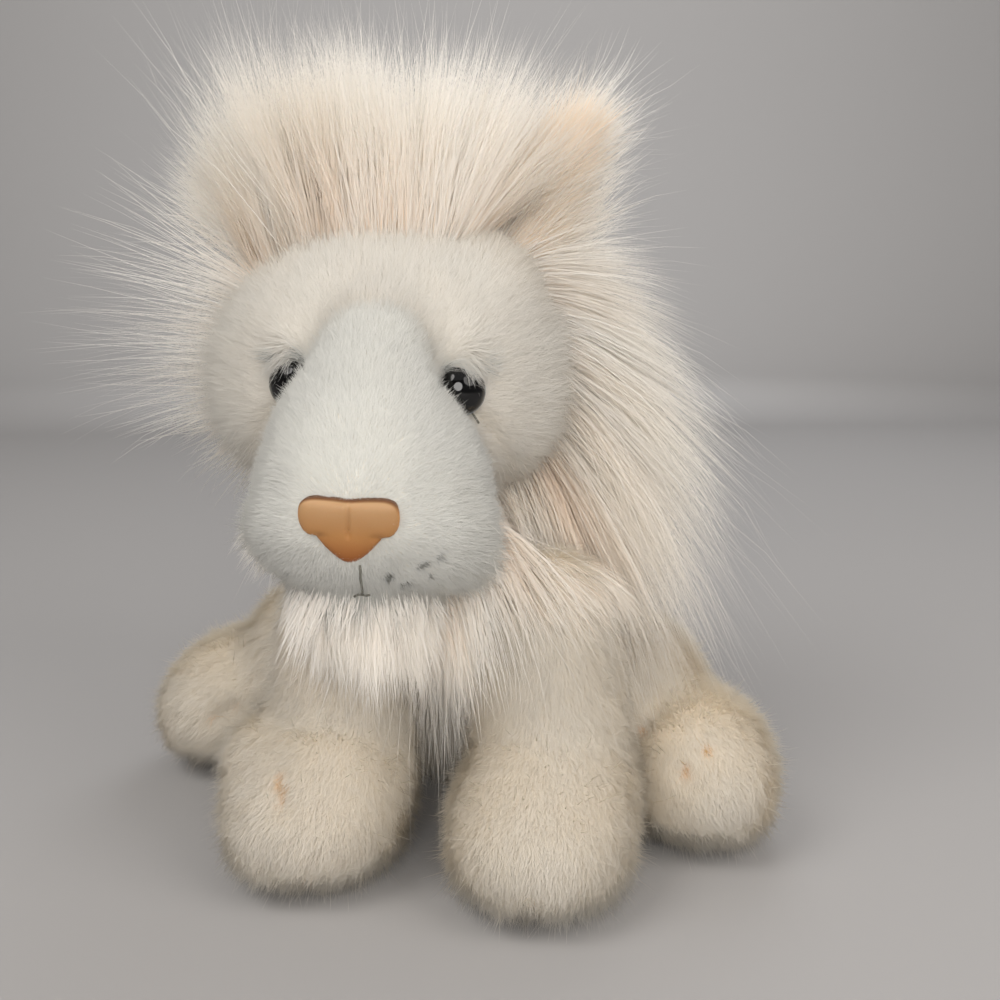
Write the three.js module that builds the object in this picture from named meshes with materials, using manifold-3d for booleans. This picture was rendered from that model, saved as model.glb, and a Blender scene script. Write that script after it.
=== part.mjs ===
// A sitting plush lion, built as its maker sews it: stuffed cloth forms, each cut to meet its larger neighbours at a
// seam, with moulded eyes and nose held by washers inside the head, and a mane of long locks.
import * as THREE from "three";
import { mergeVertices } from "three/addons/utils/BufferGeometryUtils.js";
import Module from "manifold-3d";

const wasm = await Module();
wasm.setup();

// Lengths are in millimetres and angles in degrees. The lion faces -Y, +X is its left side and +Z is up.
// The origin is the middle of the seat, on the surface that the toy sits on.

// Cloth, seams and the surface.
const seamGap = 0.3;
const clothThickness = 2.5;
const pressedFlat = 0.5;
const cutOverrun = 400;

// Torso: a pear that leans forwards, with an oval seat panel under it and a pouch of pellets inside.
const torsoHeight = 130;
const torsoBelowSeat = 14;
const torsoLean = 54;
const torsoSlant = 8;
const torsoWidth = 116;
const torsoDepth = 110;
const torsoWidthShares = [0.94, 1.0, 0.99, 0.92, 0.82];
const torsoDepthShares = [0.94, 1.0, 0.94, 0.8, 0.68];
const torsoBluntness = 0.7;
const seatPanelWidth = 62;
const seatPanelDepth = 56;
const pouchWidth = 54;
const pouchDepth = 48;
const pouchHeight = 24;

// Head: a squarish skull, turned a little to the lion's left and leaning to its right.
const headCentreHeight = 155;
const headForward = 53;
const headAside = 17;
const headTurnAngle = 10.5;
const headRollAngle = 2;
const skullWidth = 108;
const skullDepth = 96;
const skullHeight = 98;
const skullWidthShares = [0.94, 1.0, 1.02, 1.0, 0.9];
const skullDepthShares = [0.96, 1.0, 1.0, 1.0, 0.94];
const skullSquareness = 0.9;
const skullBluntness = 0.8;

// Muzzle: a drop-shaped pad from the forehead down to the mouth, and a chin under it.
const muzzleTopHeight = 31;
const muzzleBottomDepth = 57;
const muzzleTopForward = 34;
const muzzleReach = 60;
const muzzleWidth = 82;
const muzzleThickness = 72;
const muzzleWidthShares = [0.34, 0.48, 0.74, 1.0, 1.04];
const muzzleThicknessShares = [0.2, 0.42, 0.84, 1.02, 0.8];
const muzzleSpineShares = [0, 0.24, 0.54, 0.84, 1];
const muzzleReachShares = [0, 0.48, 0.84, 1, 0.94];
const muzzleBluntness = 0.8;
const chinWidth = 48;
const chinLength = 44;
const chinHeight = 25;
const chinForward = 62;
const chinDrop = 54;

// Ears: cupped flaps with a rounded tip.
const earLength = 47;
const earWidth = 36;
const earThickness = 10;
const earWidthShares = [0.92, 1.0, 0.96, 0.76, 0.5];
const earThicknessShares = [1.0, 0.9, 0.8, 0.7, 0.6];
const earCup = 5;
const earAside = 34;
const earSeatHeight = 34;
const earBehind = 4;
const earSplayAngle = 24;

// Eyes: a black dome on a flange, with a stem through the cloth and a washer behind it.
const eyeRadius = 8;
const eyeBulge = 4.8;
const eyeFlangeThickness = 1.2;
const eyeSpacing = 51.5;
const eyeHeight = -2;
const eyeSinkage = 0.8;
const eyeOutwardAngle = 22;
const stemRadius = 2.2;
const stemLength = 11;
const washerRadius = 7.5;
const washerThickness = 1.4;
const washerClearance = 0.3;
const washerHubRadius = 4.2;
const washerHubHeight = 1.2;
const roundSteps = 16;

// Nose: a moulded soft plastic nose, with two side lobes, a lower lobe and a groove down its middle.
const noseWidth = 27;
const noseHeight = 17;
const noseAcrossShares = [0, 0.3, 0.7, 0.93, 1.0, 0.97, 0.84, 0.66, 0.57, 0.44, 0.22, 0];
const noseUpShares = [0.9, 0.97, 1.0, 0.86, 0.5, 0.12, -0.18, -0.28, -0.44, -0.78, -0.96, -1];
const noseThickness = 3.2;
const noseRounding = 1.6;
const noseGrooveRadius = 0.9;
const noseGrooveShare = 0.6;
const noseHeightOnMuzzle = -34;
const noseTiltAngle = 12;
const noseSeatDepth = 2.6;

// Front legs: straight, with a large paw and a flat sole panel each.
const pawStance = 73;
const pawShift = 8;
const pawForward = 104;
const pawWidth = 60;
const pawLength = 72;
const pawHeight = 50;
const pawWidthShares = [0.8, 0.94, 1.0, 1.0, 0.92];
const pawHeightShares = [1.0, 1.0, 0.96, 0.88, 0.72];
const pawBluntness = 0.72;
const soleSquareness = 0.62;
const legWidth = 50;
const legDepth = 48;
const legWidthShares = [1.04, 1.0, 0.98, 1.04, 1.12];
const legDepthShares = [0.94, 0.94, 1.0, 1.1, 1.16];
const legTopHeight = 102;
const legBottomHeight = 12;
const legBehindPaw = 8;
const legLeanBack = 22;
const legLeanIn = 6;
const soleThickness = 6;

// Hind legs: a haunch sewn to the side of the torso, and a foot turned outwards.
const footStance = 178;
const footForward = 46;
const footStagger = 24;
const footWidth = 52;
const footLength = 64;
const footHeight = 54;
const footWidthShares = [0.84, 0.96, 1.0, 1.0, 0.92];
const footHeightShares = [0.96, 1.0, 0.98, 0.9, 0.74];
const footSplayAngle = 24;
const haunchWidth = 66;
const haunchHeight = 78;
const haunchWidthShares = [0.96, 1.0, 0.98, 0.88, 0.74];
const haunchHeightShares = [0.94, 1.0, 0.98, 0.84, 0.66];
const haunchCentreHeight = 38;
const haunchInset = 52;
const haunchBehind = 26;

// Tail: a thin tube that lies on the surface behind the toy, with a tuft at its end.
const tailRadius = 7;
const tailRootRadius = 8;
const tailRootStandoff = 2;
const tailLength = 112;
const tailRootHeight = 24;
const tuftLength = 58;
const tuftWidth = 32;
const tuftShares = [0.5, 0.9, 1.0, 0.8, 0.36];
const tuftTipHeightShare = 0.6;

// Mane and bib: long hair in fans of locks, rooted along seams on the head and the chest.
const lockRootShare = 0.16;
const lockNotchShare = 0.24;
const lockGrooveShare = 0.3;
const lockTaperShare = 0.45;
const lockSagShare = 0.12;
const lockBluntness = 0.36;
const crownLocks = 6;
const crownLength = 60;
const crownThickness = 44;
const crownWidth = 96;
const crownForward = 16;
const crownSeatHeight = 40;
const crownDrop = 12;
const crownFanAngle = 16;
const crownBackAngle = 10;
const crownRearLength = 50;
const crownRearBehind = 8;
const crownRearBackAngle = 36;
const cheekRadius = 42;
const cheekBehind = 14;
const cheekTopAngle = 26;
const cheekBottomAngle = 140;
const sideThickness = 72;
const leftLocks = 7;
const leftTopLength = 46;
const leftBottomLength = 98;
const leftLengthBend = 1.6;
const leftTopAngle = 42;
const leftBottomAngle = 144;
const leftSweepAngle = 12;
const rightLocks = 7;
const rightTopLength = 74;
const rightBottomLength = 56;
const rightTopAngle = 28;
const rightBottomAngle = 150;
const rightSweepAngle = 70;
const napeLocks = 6;
const napeLength = 80;
const napeThickness = 38;
const napeWidth = 84;
const napeBehind = 22;
const napeSeatHeight = 38;
const napeRowDrop = 34;
const napeRowBack = 22;
const napeWrap = 18;
const napeFanAngle = 50;
const napeTopAngle = 126;
const napeBottomAngle = 156;
const bibLocks = 5;
const bibLength = 66;
const bibThickness = 34;
const bibWidth = 74;
const bibFanAngle = 14;
const bibBelowChin = 1;
const bibForwardAngle = 166;
const bibProudness = 10;

const X_AXIS = new THREE.Vector3(1, 0, 0);
const Y_AXIS = new THREE.Vector3(0, 1, 0);
const Z_AXIS = new THREE.Vector3(0, 0, 1);
const radians = THREE.MathUtils.degToRad;

const materials = {
  cream: new THREE.MeshStandardMaterial({ color: 0xefe2cc, roughness: 0.95 }),
  white: new THREE.MeshStandardMaterial({ color: 0xf4f2ec, roughness: 0.95 }),
  mane: new THREE.MeshStandardMaterial({ color: 0xf5e3cf, roughness: 0.85 }),
  nose: new THREE.MeshStandardMaterial({ color: 0xd08a4a, roughness: 0.35 }),
  eye: new THREE.MeshStandardMaterial({ color: 0x0b0c10, roughness: 0.08 }),
  washer: new THREE.MeshStandardMaterial({ color: 0xdadada, roughness: 0.5 }),
  filling: new THREE.MeshStandardMaterial({ color: 0xfafafa, roughness: 1 }),
  pouch: new THREE.MeshStandardMaterial({ color: 0xd9d4c8, roughness: 0.9 }),
};

// Solids: geometry goes in and out of the boolean library as closed meshes of shared vertices.
function solidOf(geometry) {
  const bare = geometry.clone();
  bare.deleteAttribute("normal");
  bare.deleteAttribute("uv");
  const merged = mergeVertices(bare);
  return new wasm.Manifold(
    new wasm.Mesh({
      numProp: 3,
      vertProperties: new Float32Array(merged.attributes.position.array),
      triVerts: new Uint32Array(merged.index.array),
    }),
  );
}

function geometryOf(solid) {
  const mesh = solid.getMesh();
  const geometry = new THREE.BufferGeometry();
  geometry.setAttribute("position", new THREE.BufferAttribute(mesh.vertProperties, 3));
  geometry.setIndex(new THREE.BufferAttribute(mesh.triVerts, 1));
  geometry.computeVertexNormals();
  return geometry;
}

function largestBody(solid) {
  return solid.decompose().reduce((a, b) => (b.volume() > a.volume() ? b : a));
}

function union(...solids) {
  return solids.reduce((a, b) => a.add(b));
}

function slab(low, high) {
  const box = new THREE.BoxGeometry(cutOverrun, cutOverrun, high - low);
  return solidOf(box.translate(0, 0, (low + high) / 2));
}

const ground = slab(-cutOverrun, 0);

// A column with an oval section, from one height to another.
function ovalColumn(width, depth, low, high) {
  const column = new THREE.CylinderGeometry(0.5, 0.5, high - low, roundSteps * 1.6);
  column.rotateX(Math.PI / 2);
  column.scale(width, depth, 1);
  return solidOf(column.translate(0, 0, (low + high) / 2));
}

function profileAt(shares, along) {
  const points = shares.map((share, i) => new THREE.Vector2(i, share));
  return new THREE.SplineCurve(points).getPoint(along).y;
}

// A stuffed form: a ball stretched along a smooth spine, whose width and depth follow a profile of shares. The ends are
// round, or blunter where bluntness is under 1, and the section is oval, or squarer where squareness is under 1. under is
// the squareness of the side that a foot stands on. grow swells the form all round, and a form grown by the seam gap cuts
// the neighbours that are sewn to it.
function stuffedForm(form, grow = 0) {
  const { spine, width, depth, widthShares, depthShares, sides, rings } = form;
  const { bluntness = 1, squareness = 1, under = squareness, side = X_AXIS, cup = 0 } = form;
  const line = new THREE.CatmullRomCurve3(spine);
  const ball = new THREE.SphereGeometry(1, sides, rings);
  const place = ball.attributes.position;
  const point = new THREE.Vector3();
  for (let i = 0; i < place.count; i++) {
    point.fromBufferAttribute(place, i);
    const ring = Math.hypot(point.x, point.z);
    const turn = Math.atan2(point.z, point.x);
    const along = THREE.MathUtils.clamp((1 - point.y) / 2, 0, 1);
    const reach = ring > 1e-6 ? Math.pow(ring, bluntness) : 0;
    const corner = Math.sin(turn) < 0 ? under : squareness;
    const across = Math.sign(Math.cos(turn)) * Math.pow(Math.abs(Math.cos(turn)), corner);
    const outward = Math.sign(Math.sin(turn)) * Math.pow(Math.abs(Math.sin(turn)), corner);
    const tangent = line.getTangent(along);
    const sideways = side.clone().addScaledVector(tangent, -side.dot(tangent)).normalize();
    const out = new THREE.Vector3().crossVectors(tangent, sideways);
    const halfWidth = (width / 2) * profileAt(widthShares, along) + grow;
    const halfDepth = (depth / 2) * profileAt(depthShares, along) + grow;
    const bend = cup * (across * across * reach * reach - 0.5);
    point.copy(line.getPoint(along));
    point.addScaledVector(sideways, halfWidth * reach * across);
    point.addScaledVector(out, halfDepth * reach * outward + bend);
    point.addScaledVector(tangent, -grow * place.getY(i));
    place.setXYZ(i, point.x, point.y, point.z);
  }
  const solid = solidOf(ball);
  return solid.volume() < 0 ? solidOf(flipped(ball)) : solid;
}

function flipped(geometry) {
  const index = geometry.index.array;
  for (let i = 0; i < index.length; i += 3) {
    [index[i], index[i + 1]] = [index[i + 1], index[i]];
  }
  return geometry;
}

function vector(x, y, z) {
  return new THREE.Vector3(x, y, z);
}

// The assembly: groups carry the pieces, and taken holds, in the lion's frame, the grown form of each piece placed.
const lion = new THREE.Group();
const taken = [];

function groupAt(x, y, z, turnAngle = 0, rollAngle = 0) {
  const group = new THREE.Group();
  group.position.set(x, y, z);
  group.rotation.set(0, radians(rollAngle), radians(turnAngle), "ZYX");
  lion.add(group);
  group.updateMatrixWorld(true);
  return group;
}

function inLion(group, solid) {
  return solid.transform(group.matrixWorld.elements);
}

function inGroup(group, solid) {
  return solid.transform(group.matrixWorld.clone().invert().elements);
}

function addPiece(group, name, solid, material) {
  const mesh = new THREE.Mesh(geometryOf(solid), material);
  mesh.name = name;
  group.add(mesh);
}

// Places a piece that is sewn to the ones before it: what they take up is cut away, and it is pressed flat on the
// surface. shape(grow) gives its solid in the group's frame.
function sew(group, name, shape, material, also = []) {
  const cutters = [ground, ...taken, ...also.map((solid) => inLion(group, solid))];
  const cut = cutters.reduce((a, b) => a.subtract(b), inLion(group, shape(0)));
  addPiece(group, name, inGroup(group, largestBody(cut)), material);
  taken.push(inLion(group, shape(seamGap)));
}

// Torso: a skin with an open seat, the filling, the pouch of pellets and the seat panel that closes it.
const torsoForm = {
  spine: [
    vector(0, 0, -torsoBelowSeat),
    vector(0, -torsoLean * 0.12, torsoHeight * 0.26),
    vector(-torsoSlant * 0.4, -torsoLean * 0.5, torsoHeight * 0.62),
    vector(-torsoSlant, -torsoLean, torsoHeight),
  ],
  width: torsoWidth,
  depth: torsoDepth,
  widthShares: torsoWidthShares,
  depthShares: torsoDepthShares,
  bluntness: torsoBluntness,
  sides: 20,
  rings: 12,
};
const torso = (grow) => stuffedForm(torsoForm, grow);
const torsoInside = (grow) => stuffedForm({ ...torsoForm, sides: 14, rings: 8 }, grow - clothThickness);

// The tail's root is a ball in a dimple of the rump, a little clear of it, so that the tail can swing on its seam.
const rumpBack = torso(0).boundingBox().max[1];
const tailRoot = vector(0, rumpBack + tailRootStandoff, tailRootHeight);
function rootDimple() {
  const ball = new THREE.SphereGeometry(tailRootRadius + seamGap + 0.1 * clothThickness, roundSteps, roundSteps / 2);
  return solidOf(ball.translate(tailRoot.x, tailRoot.y, tailRoot.z));
}

function buildTorso() {
  const group = groupAt(0, 0, 0);
  const seatHole = ovalColumn(seatPanelWidth, seatPanelDepth, -clothThickness, 2 * clothThickness);
  const inside = torsoInside(0).subtract(slab(-cutOverrun, clothThickness));
  const skin = torso(0).subtract(inside).subtract(seatHole).subtract(ground).subtract(rootDimple());
  addPiece(group, "torso_skin", largestBody(skin), materials.cream);

  const floorOfFilling = clothThickness + seamGap;
  const pouchTop = floorOfFilling + pouchHeight;
  const pocket = ovalColumn(pouchWidth + 2 * seamGap, pouchDepth + 2 * seamGap, 0, pouchTop + seamGap);
  const filling = torsoInside(-seamGap).subtract(slab(-cutOverrun, floorOfFilling)).subtract(pocket);
  addPiece(group, "torso_filling", largestBody(filling.subtract(rootDimple())), materials.filling);

  const pouch = ovalColumn(pouchWidth, pouchDepth, floorOfFilling, pouchTop);
  addPiece(group, "pellet_pouch", pouch, materials.pouch);
  const panel = ovalColumn(seatPanelWidth - 2 * seamGap, seatPanelDepth - 2 * seamGap, 0, clothThickness);
  addPiece(group, "seat_panel", panel, materials.cream);
  taken.push(torso(seamGap));
}

// Moulded eye, nose and washers. Their axis is -Y, out of the face, and their flange lies at y = 0.
function turned(profile) {
  const points = profile.map(([radius, height]) => new THREE.Vector2(Math.max(radius, 0), height));
  const lathe = new THREE.LatheGeometry(points, roundSteps).rotateX(Math.PI);
  const solid = solidOf(lathe);
  return solid.volume() < 0 ? solidOf(flipped(lathe)) : solid;
}

function eyeSolid(grow) {
  const dome = [];
  const domeSteps = 4;
  for (let i = 0; i <= domeSteps; i++) {
    const angle = (i / domeSteps) * (Math.PI / 2);
    const radius = (eyeRadius + grow) * Math.cos(angle);
    dome.push([radius, eyeFlangeThickness + (eyeBulge + grow) * Math.sin(angle)]);
  }
  dome[domeSteps][0] = 0;
  return turned([
    [0, -stemLength - grow],
    [stemRadius + grow, -stemLength - grow],
    [stemRadius + grow, -grow],
    [eyeRadius + grow, -grow],
    ...dome,
  ]);
}

function washerSolid(grow) {
  const bore = stemRadius + (grow > 0 ? 0 : washerClearance);
  const front = -clothThickness - 2 * seamGap;
  const back = front - washerThickness;
  return turned([
    [bore, front + grow],
    [bore, back - washerHubHeight - grow],
    [washerHubRadius + grow, back - washerHubHeight - grow],
    [washerHubRadius + grow, back - grow],
    [washerRadius + grow, back - grow],
    [washerRadius + grow, front + grow],
    [bore, front + grow],
  ]);
}

// The nose's outline: half of it drawn in shares of its half width and half height, and the other half its mirror image.
function noseOutline(grow) {
  const half = noseAcrossShares.map(
    (share, i) => new THREE.Vector2(share * (noseWidth / 2 + grow), noseUpShares[i] * (noseHeight / 2 + grow)),
  );
  const mirrored = half.slice(1, -1).map((point) => new THREE.Vector2(-point.x, point.y));
  const outline = new THREE.Shape(half.toReversed());
  mirrored.forEach((point) => outline.lineTo(point.x, point.y));
  outline.closePath();
  return outline;
}

function noseSolid(grow) {
  const plate = new THREE.ExtrudeGeometry(noseOutline(grow - noseRounding), {
    depth: noseThickness - noseRounding,
    bevelThickness: noseRounding + grow,
    bevelSize: noseRounding,
    bevelSegments: 3,
  });
  plate.rotateX(Math.PI / 2);
  plate.translate(0, -noseRounding, 0);
  const stem = new THREE.CylinderGeometry(stemRadius + grow, stemRadius + grow, stemLength, roundSteps);
  stem.translate(0, stemLength / 2 + grow - noseRounding, 0);
  const body = union(solidOf(plate), solidOf(stem));
  if (grow > 0) return body;
  const groove = new THREE.CylinderGeometry(noseGrooveRadius, noseGrooveRadius, noseHeight, roundSteps / 2);
  groove.rotateX(Math.PI / 2);
  groove.translate(0, -noseThickness - noseRounding, noseHeight * (noseGrooveShare - 1));
  return body.subtract(solidOf(groove));
}

// Head: a skull skin and its filling, the muzzle, the chin, the ears, and the eyes and nose with their washers.
const skullForm = {
  spine: [
    vector(0, 0, -skullHeight / 2),
    vector(0, 0, -skullHeight / 6),
    vector(0, 0, skullHeight / 6),
    vector(0, 0, skullHeight / 2),
  ],
  width: skullWidth,
  depth: skullDepth,
  widthShares: skullWidthShares,
  depthShares: skullDepthShares,
  squareness: skullSquareness,
  bluntness: skullBluntness,
  sides: 22,
  rings: 13,
};
const skull = (grow) => stuffedForm(skullForm, grow);
const skullInside = (grow) => stuffedForm({ ...skullForm, sides: 14, rings: 8 }, grow - clothThickness);

const muzzleForm = {
  spine: muzzleSpineShares.map((share, i) =>
    vector(
      0,
      -muzzleTopForward - (muzzleReach - muzzleTopForward) * muzzleReachShares[i],
      muzzleTopHeight - (muzzleTopHeight + muzzleBottomDepth) * share,
    ),
  ),
  width: muzzleWidth,
  depth: muzzleThickness,
  widthShares: muzzleWidthShares,
  depthShares: muzzleThicknessShares,
  bluntness: muzzleBluntness,
  sides: 16,
  rings: 11,
};
const muzzle = (grow) => stuffedForm(muzzleForm, grow);

const chinForm = {
  spine: [-0.5, 0, 0.5].map((share) => vector(0, -chinForward + chinLength * share, -chinDrop)),
  width: chinWidth,
  depth: chinHeight,
  widthShares: [1, 1, 1],
  depthShares: [1, 1, 1],
  sides: 14,
  rings: 8,
};
const chin = (grow) => stuffedForm(chinForm, grow);

function ear(hand, grow) {
  const lean = radians(earSplayAngle);
  const foot = vector(hand * earAside, earBehind, earSeatHeight);
  const reach = (share) =>
    foot.clone().add(vector(hand * Math.sin(lean), 0, Math.cos(lean)).multiplyScalar(earLength * share));
  return stuffedForm(
    {
      spine: [-0.1, 0.3, 0.65, 1].map(reach),
      width: earWidth,
      depth: earThickness,
      widthShares: earWidthShares,
      depthShares: earThicknessShares,
      cup: earCup,
      sides: 14,
      rings: 9,
    },
    grow,
  );
}

// How far a form's front face stands from a point, along -Y, at a given x and z.
function frontOf(solid, x, z) {
  const probe = new THREE.BoxGeometry(seamGap, cutOverrun, seamGap);
  const met = solid.intersect(solidOf(probe.translate(x, 0, z)));
  return met.boundingBox().min[1];
}

function eyePlace(hand) {
  const x = (hand * eyeSpacing) / 2;
  const matrix = new THREE.Matrix4().makeRotationZ(radians(hand * eyeOutwardAngle));
  return matrix.setPosition(x, frontOf(skull(0), x, eyeHeight) + eyeSinkage, eyeHeight);
}

function nosePlace() {
  const matrix = new THREE.Matrix4().makeRotationX(radians(noseTiltAngle));
  return matrix.setPosition(0, frontOf(muzzle(0), 0, noseHeightOnMuzzle) + noseSeatDepth, noseHeightOnMuzzle);
}

function placed(solid, matrix) {
  return solid.transform(matrix.elements);
}

const headGroup = groupAt(-headAside, -headForward, headCentreHeight, headTurnAngle, headRollAngle);

function buildHead() {
  const hands = { left: 1, right: -1 };
  const noseAt = nosePlace();
  const fittings = Object.values(hands).flatMap((hand) => [
    placed(eyeSolid(seamGap), eyePlace(hand)),
    placed(washerSolid(seamGap), eyePlace(hand)),
  ]);
  const eyeRoom = union(...fittings);
  const noseRoom = union(placed(noseSolid(seamGap), noseAt), placed(washerSolid(seamGap), noseAt));
  const torsoRoom = inGroup(headGroup, torso(seamGap));

  const skin = skull(0).subtract(skullInside(0)).subtract(torsoRoom).subtract(eyeRoom);
  addPiece(headGroup, "head_skin", largestBody(skin), materials.white);
  const filling = skullInside(-seamGap).subtract(torsoRoom).subtract(eyeRoom).subtract(noseRoom);
  addPiece(headGroup, "head_filling", largestBody(filling), materials.filling);
  taken.push(inLion(headGroup, skull(seamGap)));

  for (const [side, hand] of Object.entries(hands)) {
    addPiece(headGroup, `eye_${side}`, placed(eyeSolid(0), eyePlace(hand)), materials.eye);
    addPiece(headGroup, `eye_washer_${side}`, placed(washerSolid(0), eyePlace(hand)), materials.washer);
  }
  taken.push(inLion(headGroup, eyeRoom));
  addPiece(headGroup, "nose", placed(noseSolid(0), noseAt), materials.nose);
  addPiece(headGroup, "nose_washer", placed(washerSolid(0), noseAt), materials.washer);
  taken.push(inLion(headGroup, noseRoom));
  sew(headGroup, "muzzle", muzzle, materials.white);
  sew(headGroup, "chin", chin, materials.white);
  for (const [side, hand] of Object.entries(hands)) {
    sew(headGroup, `ear_${side}`, (grow) => ear(hand, grow), materials.mane);
  }
}

// Limbs: each is one stuffed form with its paw, and the paw's underside is a separate sole panel.
function soledLimb(group, name, shape) {
  sew(group, name, (grow) => shape(grow).subtract(slab(-cutOverrun, soleThickness + seamGap - grow)), materials.cream);
  sew(group, `${name}_sole`, (grow) => shape(grow).subtract(slab(soleThickness + grow, cutOverrun)), materials.cream);
}

// A paw or foot: it lies along the surface, with its underside level and its toe lower than its heel.
function pawForm(length, width, height, widthShares, heightShares) {
  const toeShares = [0, 0.25, 0.5, 0.75, 1];
  return {
    spine: toeShares.map((share, i) =>
      vector(0, length * (0.5 - share), (height / 2) * heightShares[i] - pressedFlat),
    ),
    width,
    depth: height,
    widthShares,
    depthShares: heightShares,
    bluntness: pawBluntness,
    under: soleSquareness,
    sides: 16,
    rings: 9,
  };
}

function buildFrontLeg(side, hand) {
  const group = groupAt((hand * pawStance) / 2 + pawShift, -pawForward, 0);
  const paw = pawForm(pawLength, pawWidth, pawHeight, pawWidthShares, pawHeightShares);
  const leg = {
    spine: [0, 0.35, 0.7, 1].map((share) =>
      vector(
        -hand * legLeanIn * share,
        legBehindPaw + legLeanBack * share,
        legBottomHeight + (legTopHeight - legBottomHeight) * share,
      ),
    ),
    width: legWidth,
    depth: legDepth,
    widthShares: legWidthShares,
    depthShares: legDepthShares,
    bluntness: pawBluntness,
    sides: 16,
    rings: 10,
  };
  soledLimb(group, `front_leg_${side}`, (grow) => union(stuffedForm(leg, grow), stuffedForm(paw, grow)));
}

function buildHindLeg(side, hand) {
  const forward = footForward + (hand * footStagger) / 2;
  const group = groupAt((hand * footStance) / 2, -forward, 0, hand * footSplayAngle);
  const foot = pawForm(footLength, footWidth, footHeight, footWidthShares, footHeightShares);
  const inward = new THREE.Matrix4().copy(group.matrixWorld).invert();
  const hip = vector(hand * (footStance / 2 - haunchInset), haunchBehind - footForward, haunchCentreHeight);
  hip.applyMatrix4(inward);
  const ankle = vector(0, footLength * 0.12, footHeight / 2);
  const haunch = {
    spine: [0, 0.4, 0.75, 1].map((share) => hip.clone().lerp(ankle, share)),
    width: haunchHeight,
    depth: haunchWidth,
    widthShares: haunchHeightShares,
    depthShares: haunchWidthShares,
    bluntness: pawBluntness,
    side: Z_AXIS,
    sides: 16,
    rings: 10,
  };
  soledLimb(group, `hind_leg_${side}`, (grow) => union(stuffedForm(haunch, grow), stuffedForm(foot, grow)));
}

// A direction: tilted from upright, then turned about the upright axis. Turn 0 points to the left of the lion.
function aimed(tiltAngle, turnAngle) {
  const tilt = radians(tiltAngle);
  const turn = radians(turnAngle);
  return vector(Math.sin(tilt) * Math.cos(turn), Math.sin(tilt) * Math.sin(turn), Math.cos(tilt));
}

function between(first, last, share) {
  return first + (last - first) * share;
}

// A fan of long locks, side by side along a curved seam. rootAt, directionAt and lengthAt give the hair at a share of the
// way along the seam. The section of the fan is a leaf, from a little behind the seam to the tips, and the locks show as
// rounded tips with a groove between neighbours.
function hairFan({ locks, rootAt, directionAt, lengthAt, thickness, sag = 0 }, grow) {
  const stepsPerLock = 4;
  const sectionSides = 8;
  const ball = new THREE.SphereGeometry(1, sectionSides, locks * stepsPerLock);
  const place = ball.attributes.position;
  const middleAt = (share) => rootAt(share).addScaledVector(directionAt(share), lengthAt(share) / 2);
  for (let i = 0; i < place.count; i++) {
    const end = place.getY(i);
    const ring = Math.hypot(place.getX(i), place.getZ(i));
    const turn = Math.atan2(place.getZ(i), place.getX(i));
    const along = Math.acos(THREE.MathUtils.clamp(end, -1, 1)) / Math.PI;
    const reach = ring > 1e-6 ? Math.pow(ring, lockBluntness) : 0;
    const notch = 1 - Math.abs(Math.sin(Math.PI * locks * along));
    const tipward = Math.cos(turn) * reach;
    const outward = Math.sin(turn) * reach;
    const direction = directionAt(along);
    const tangent = middleAt(Math.min(along + 0.01, 1)).sub(middleAt(Math.max(along - 0.01, 0))).normalize();
    const out = new THREE.Vector3().crossVectors(tangent, direction).normalize();
    const half = lengthAt(along) / 2;
    const tipHalf = tipward > 0 ? half * (1 - lockNotchShare * notch) : half * (1 + lockRootShare);
    const taper = 1 - Math.max(tipward, 0) * (lockTaperShare + lockGrooveShare * notch);
    const point = rootAt(along).addScaledVector(direction, half + (tipHalf + grow) * tipward);
    point.addScaledVector(out, ((thickness / 2) * taper + grow) * outward);
    point.addScaledVector(tangent, -grow * end);
    point.z -= sag * lengthAt(along) * Math.pow((1 + tipward) / 2, 2);
    place.setXYZ(i, point.x, point.y, point.z);
  }
  const solid = solidOf(ball);
  return solid.volume() < 0 ? solidOf(flipped(ball)) : solid;
}

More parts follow.
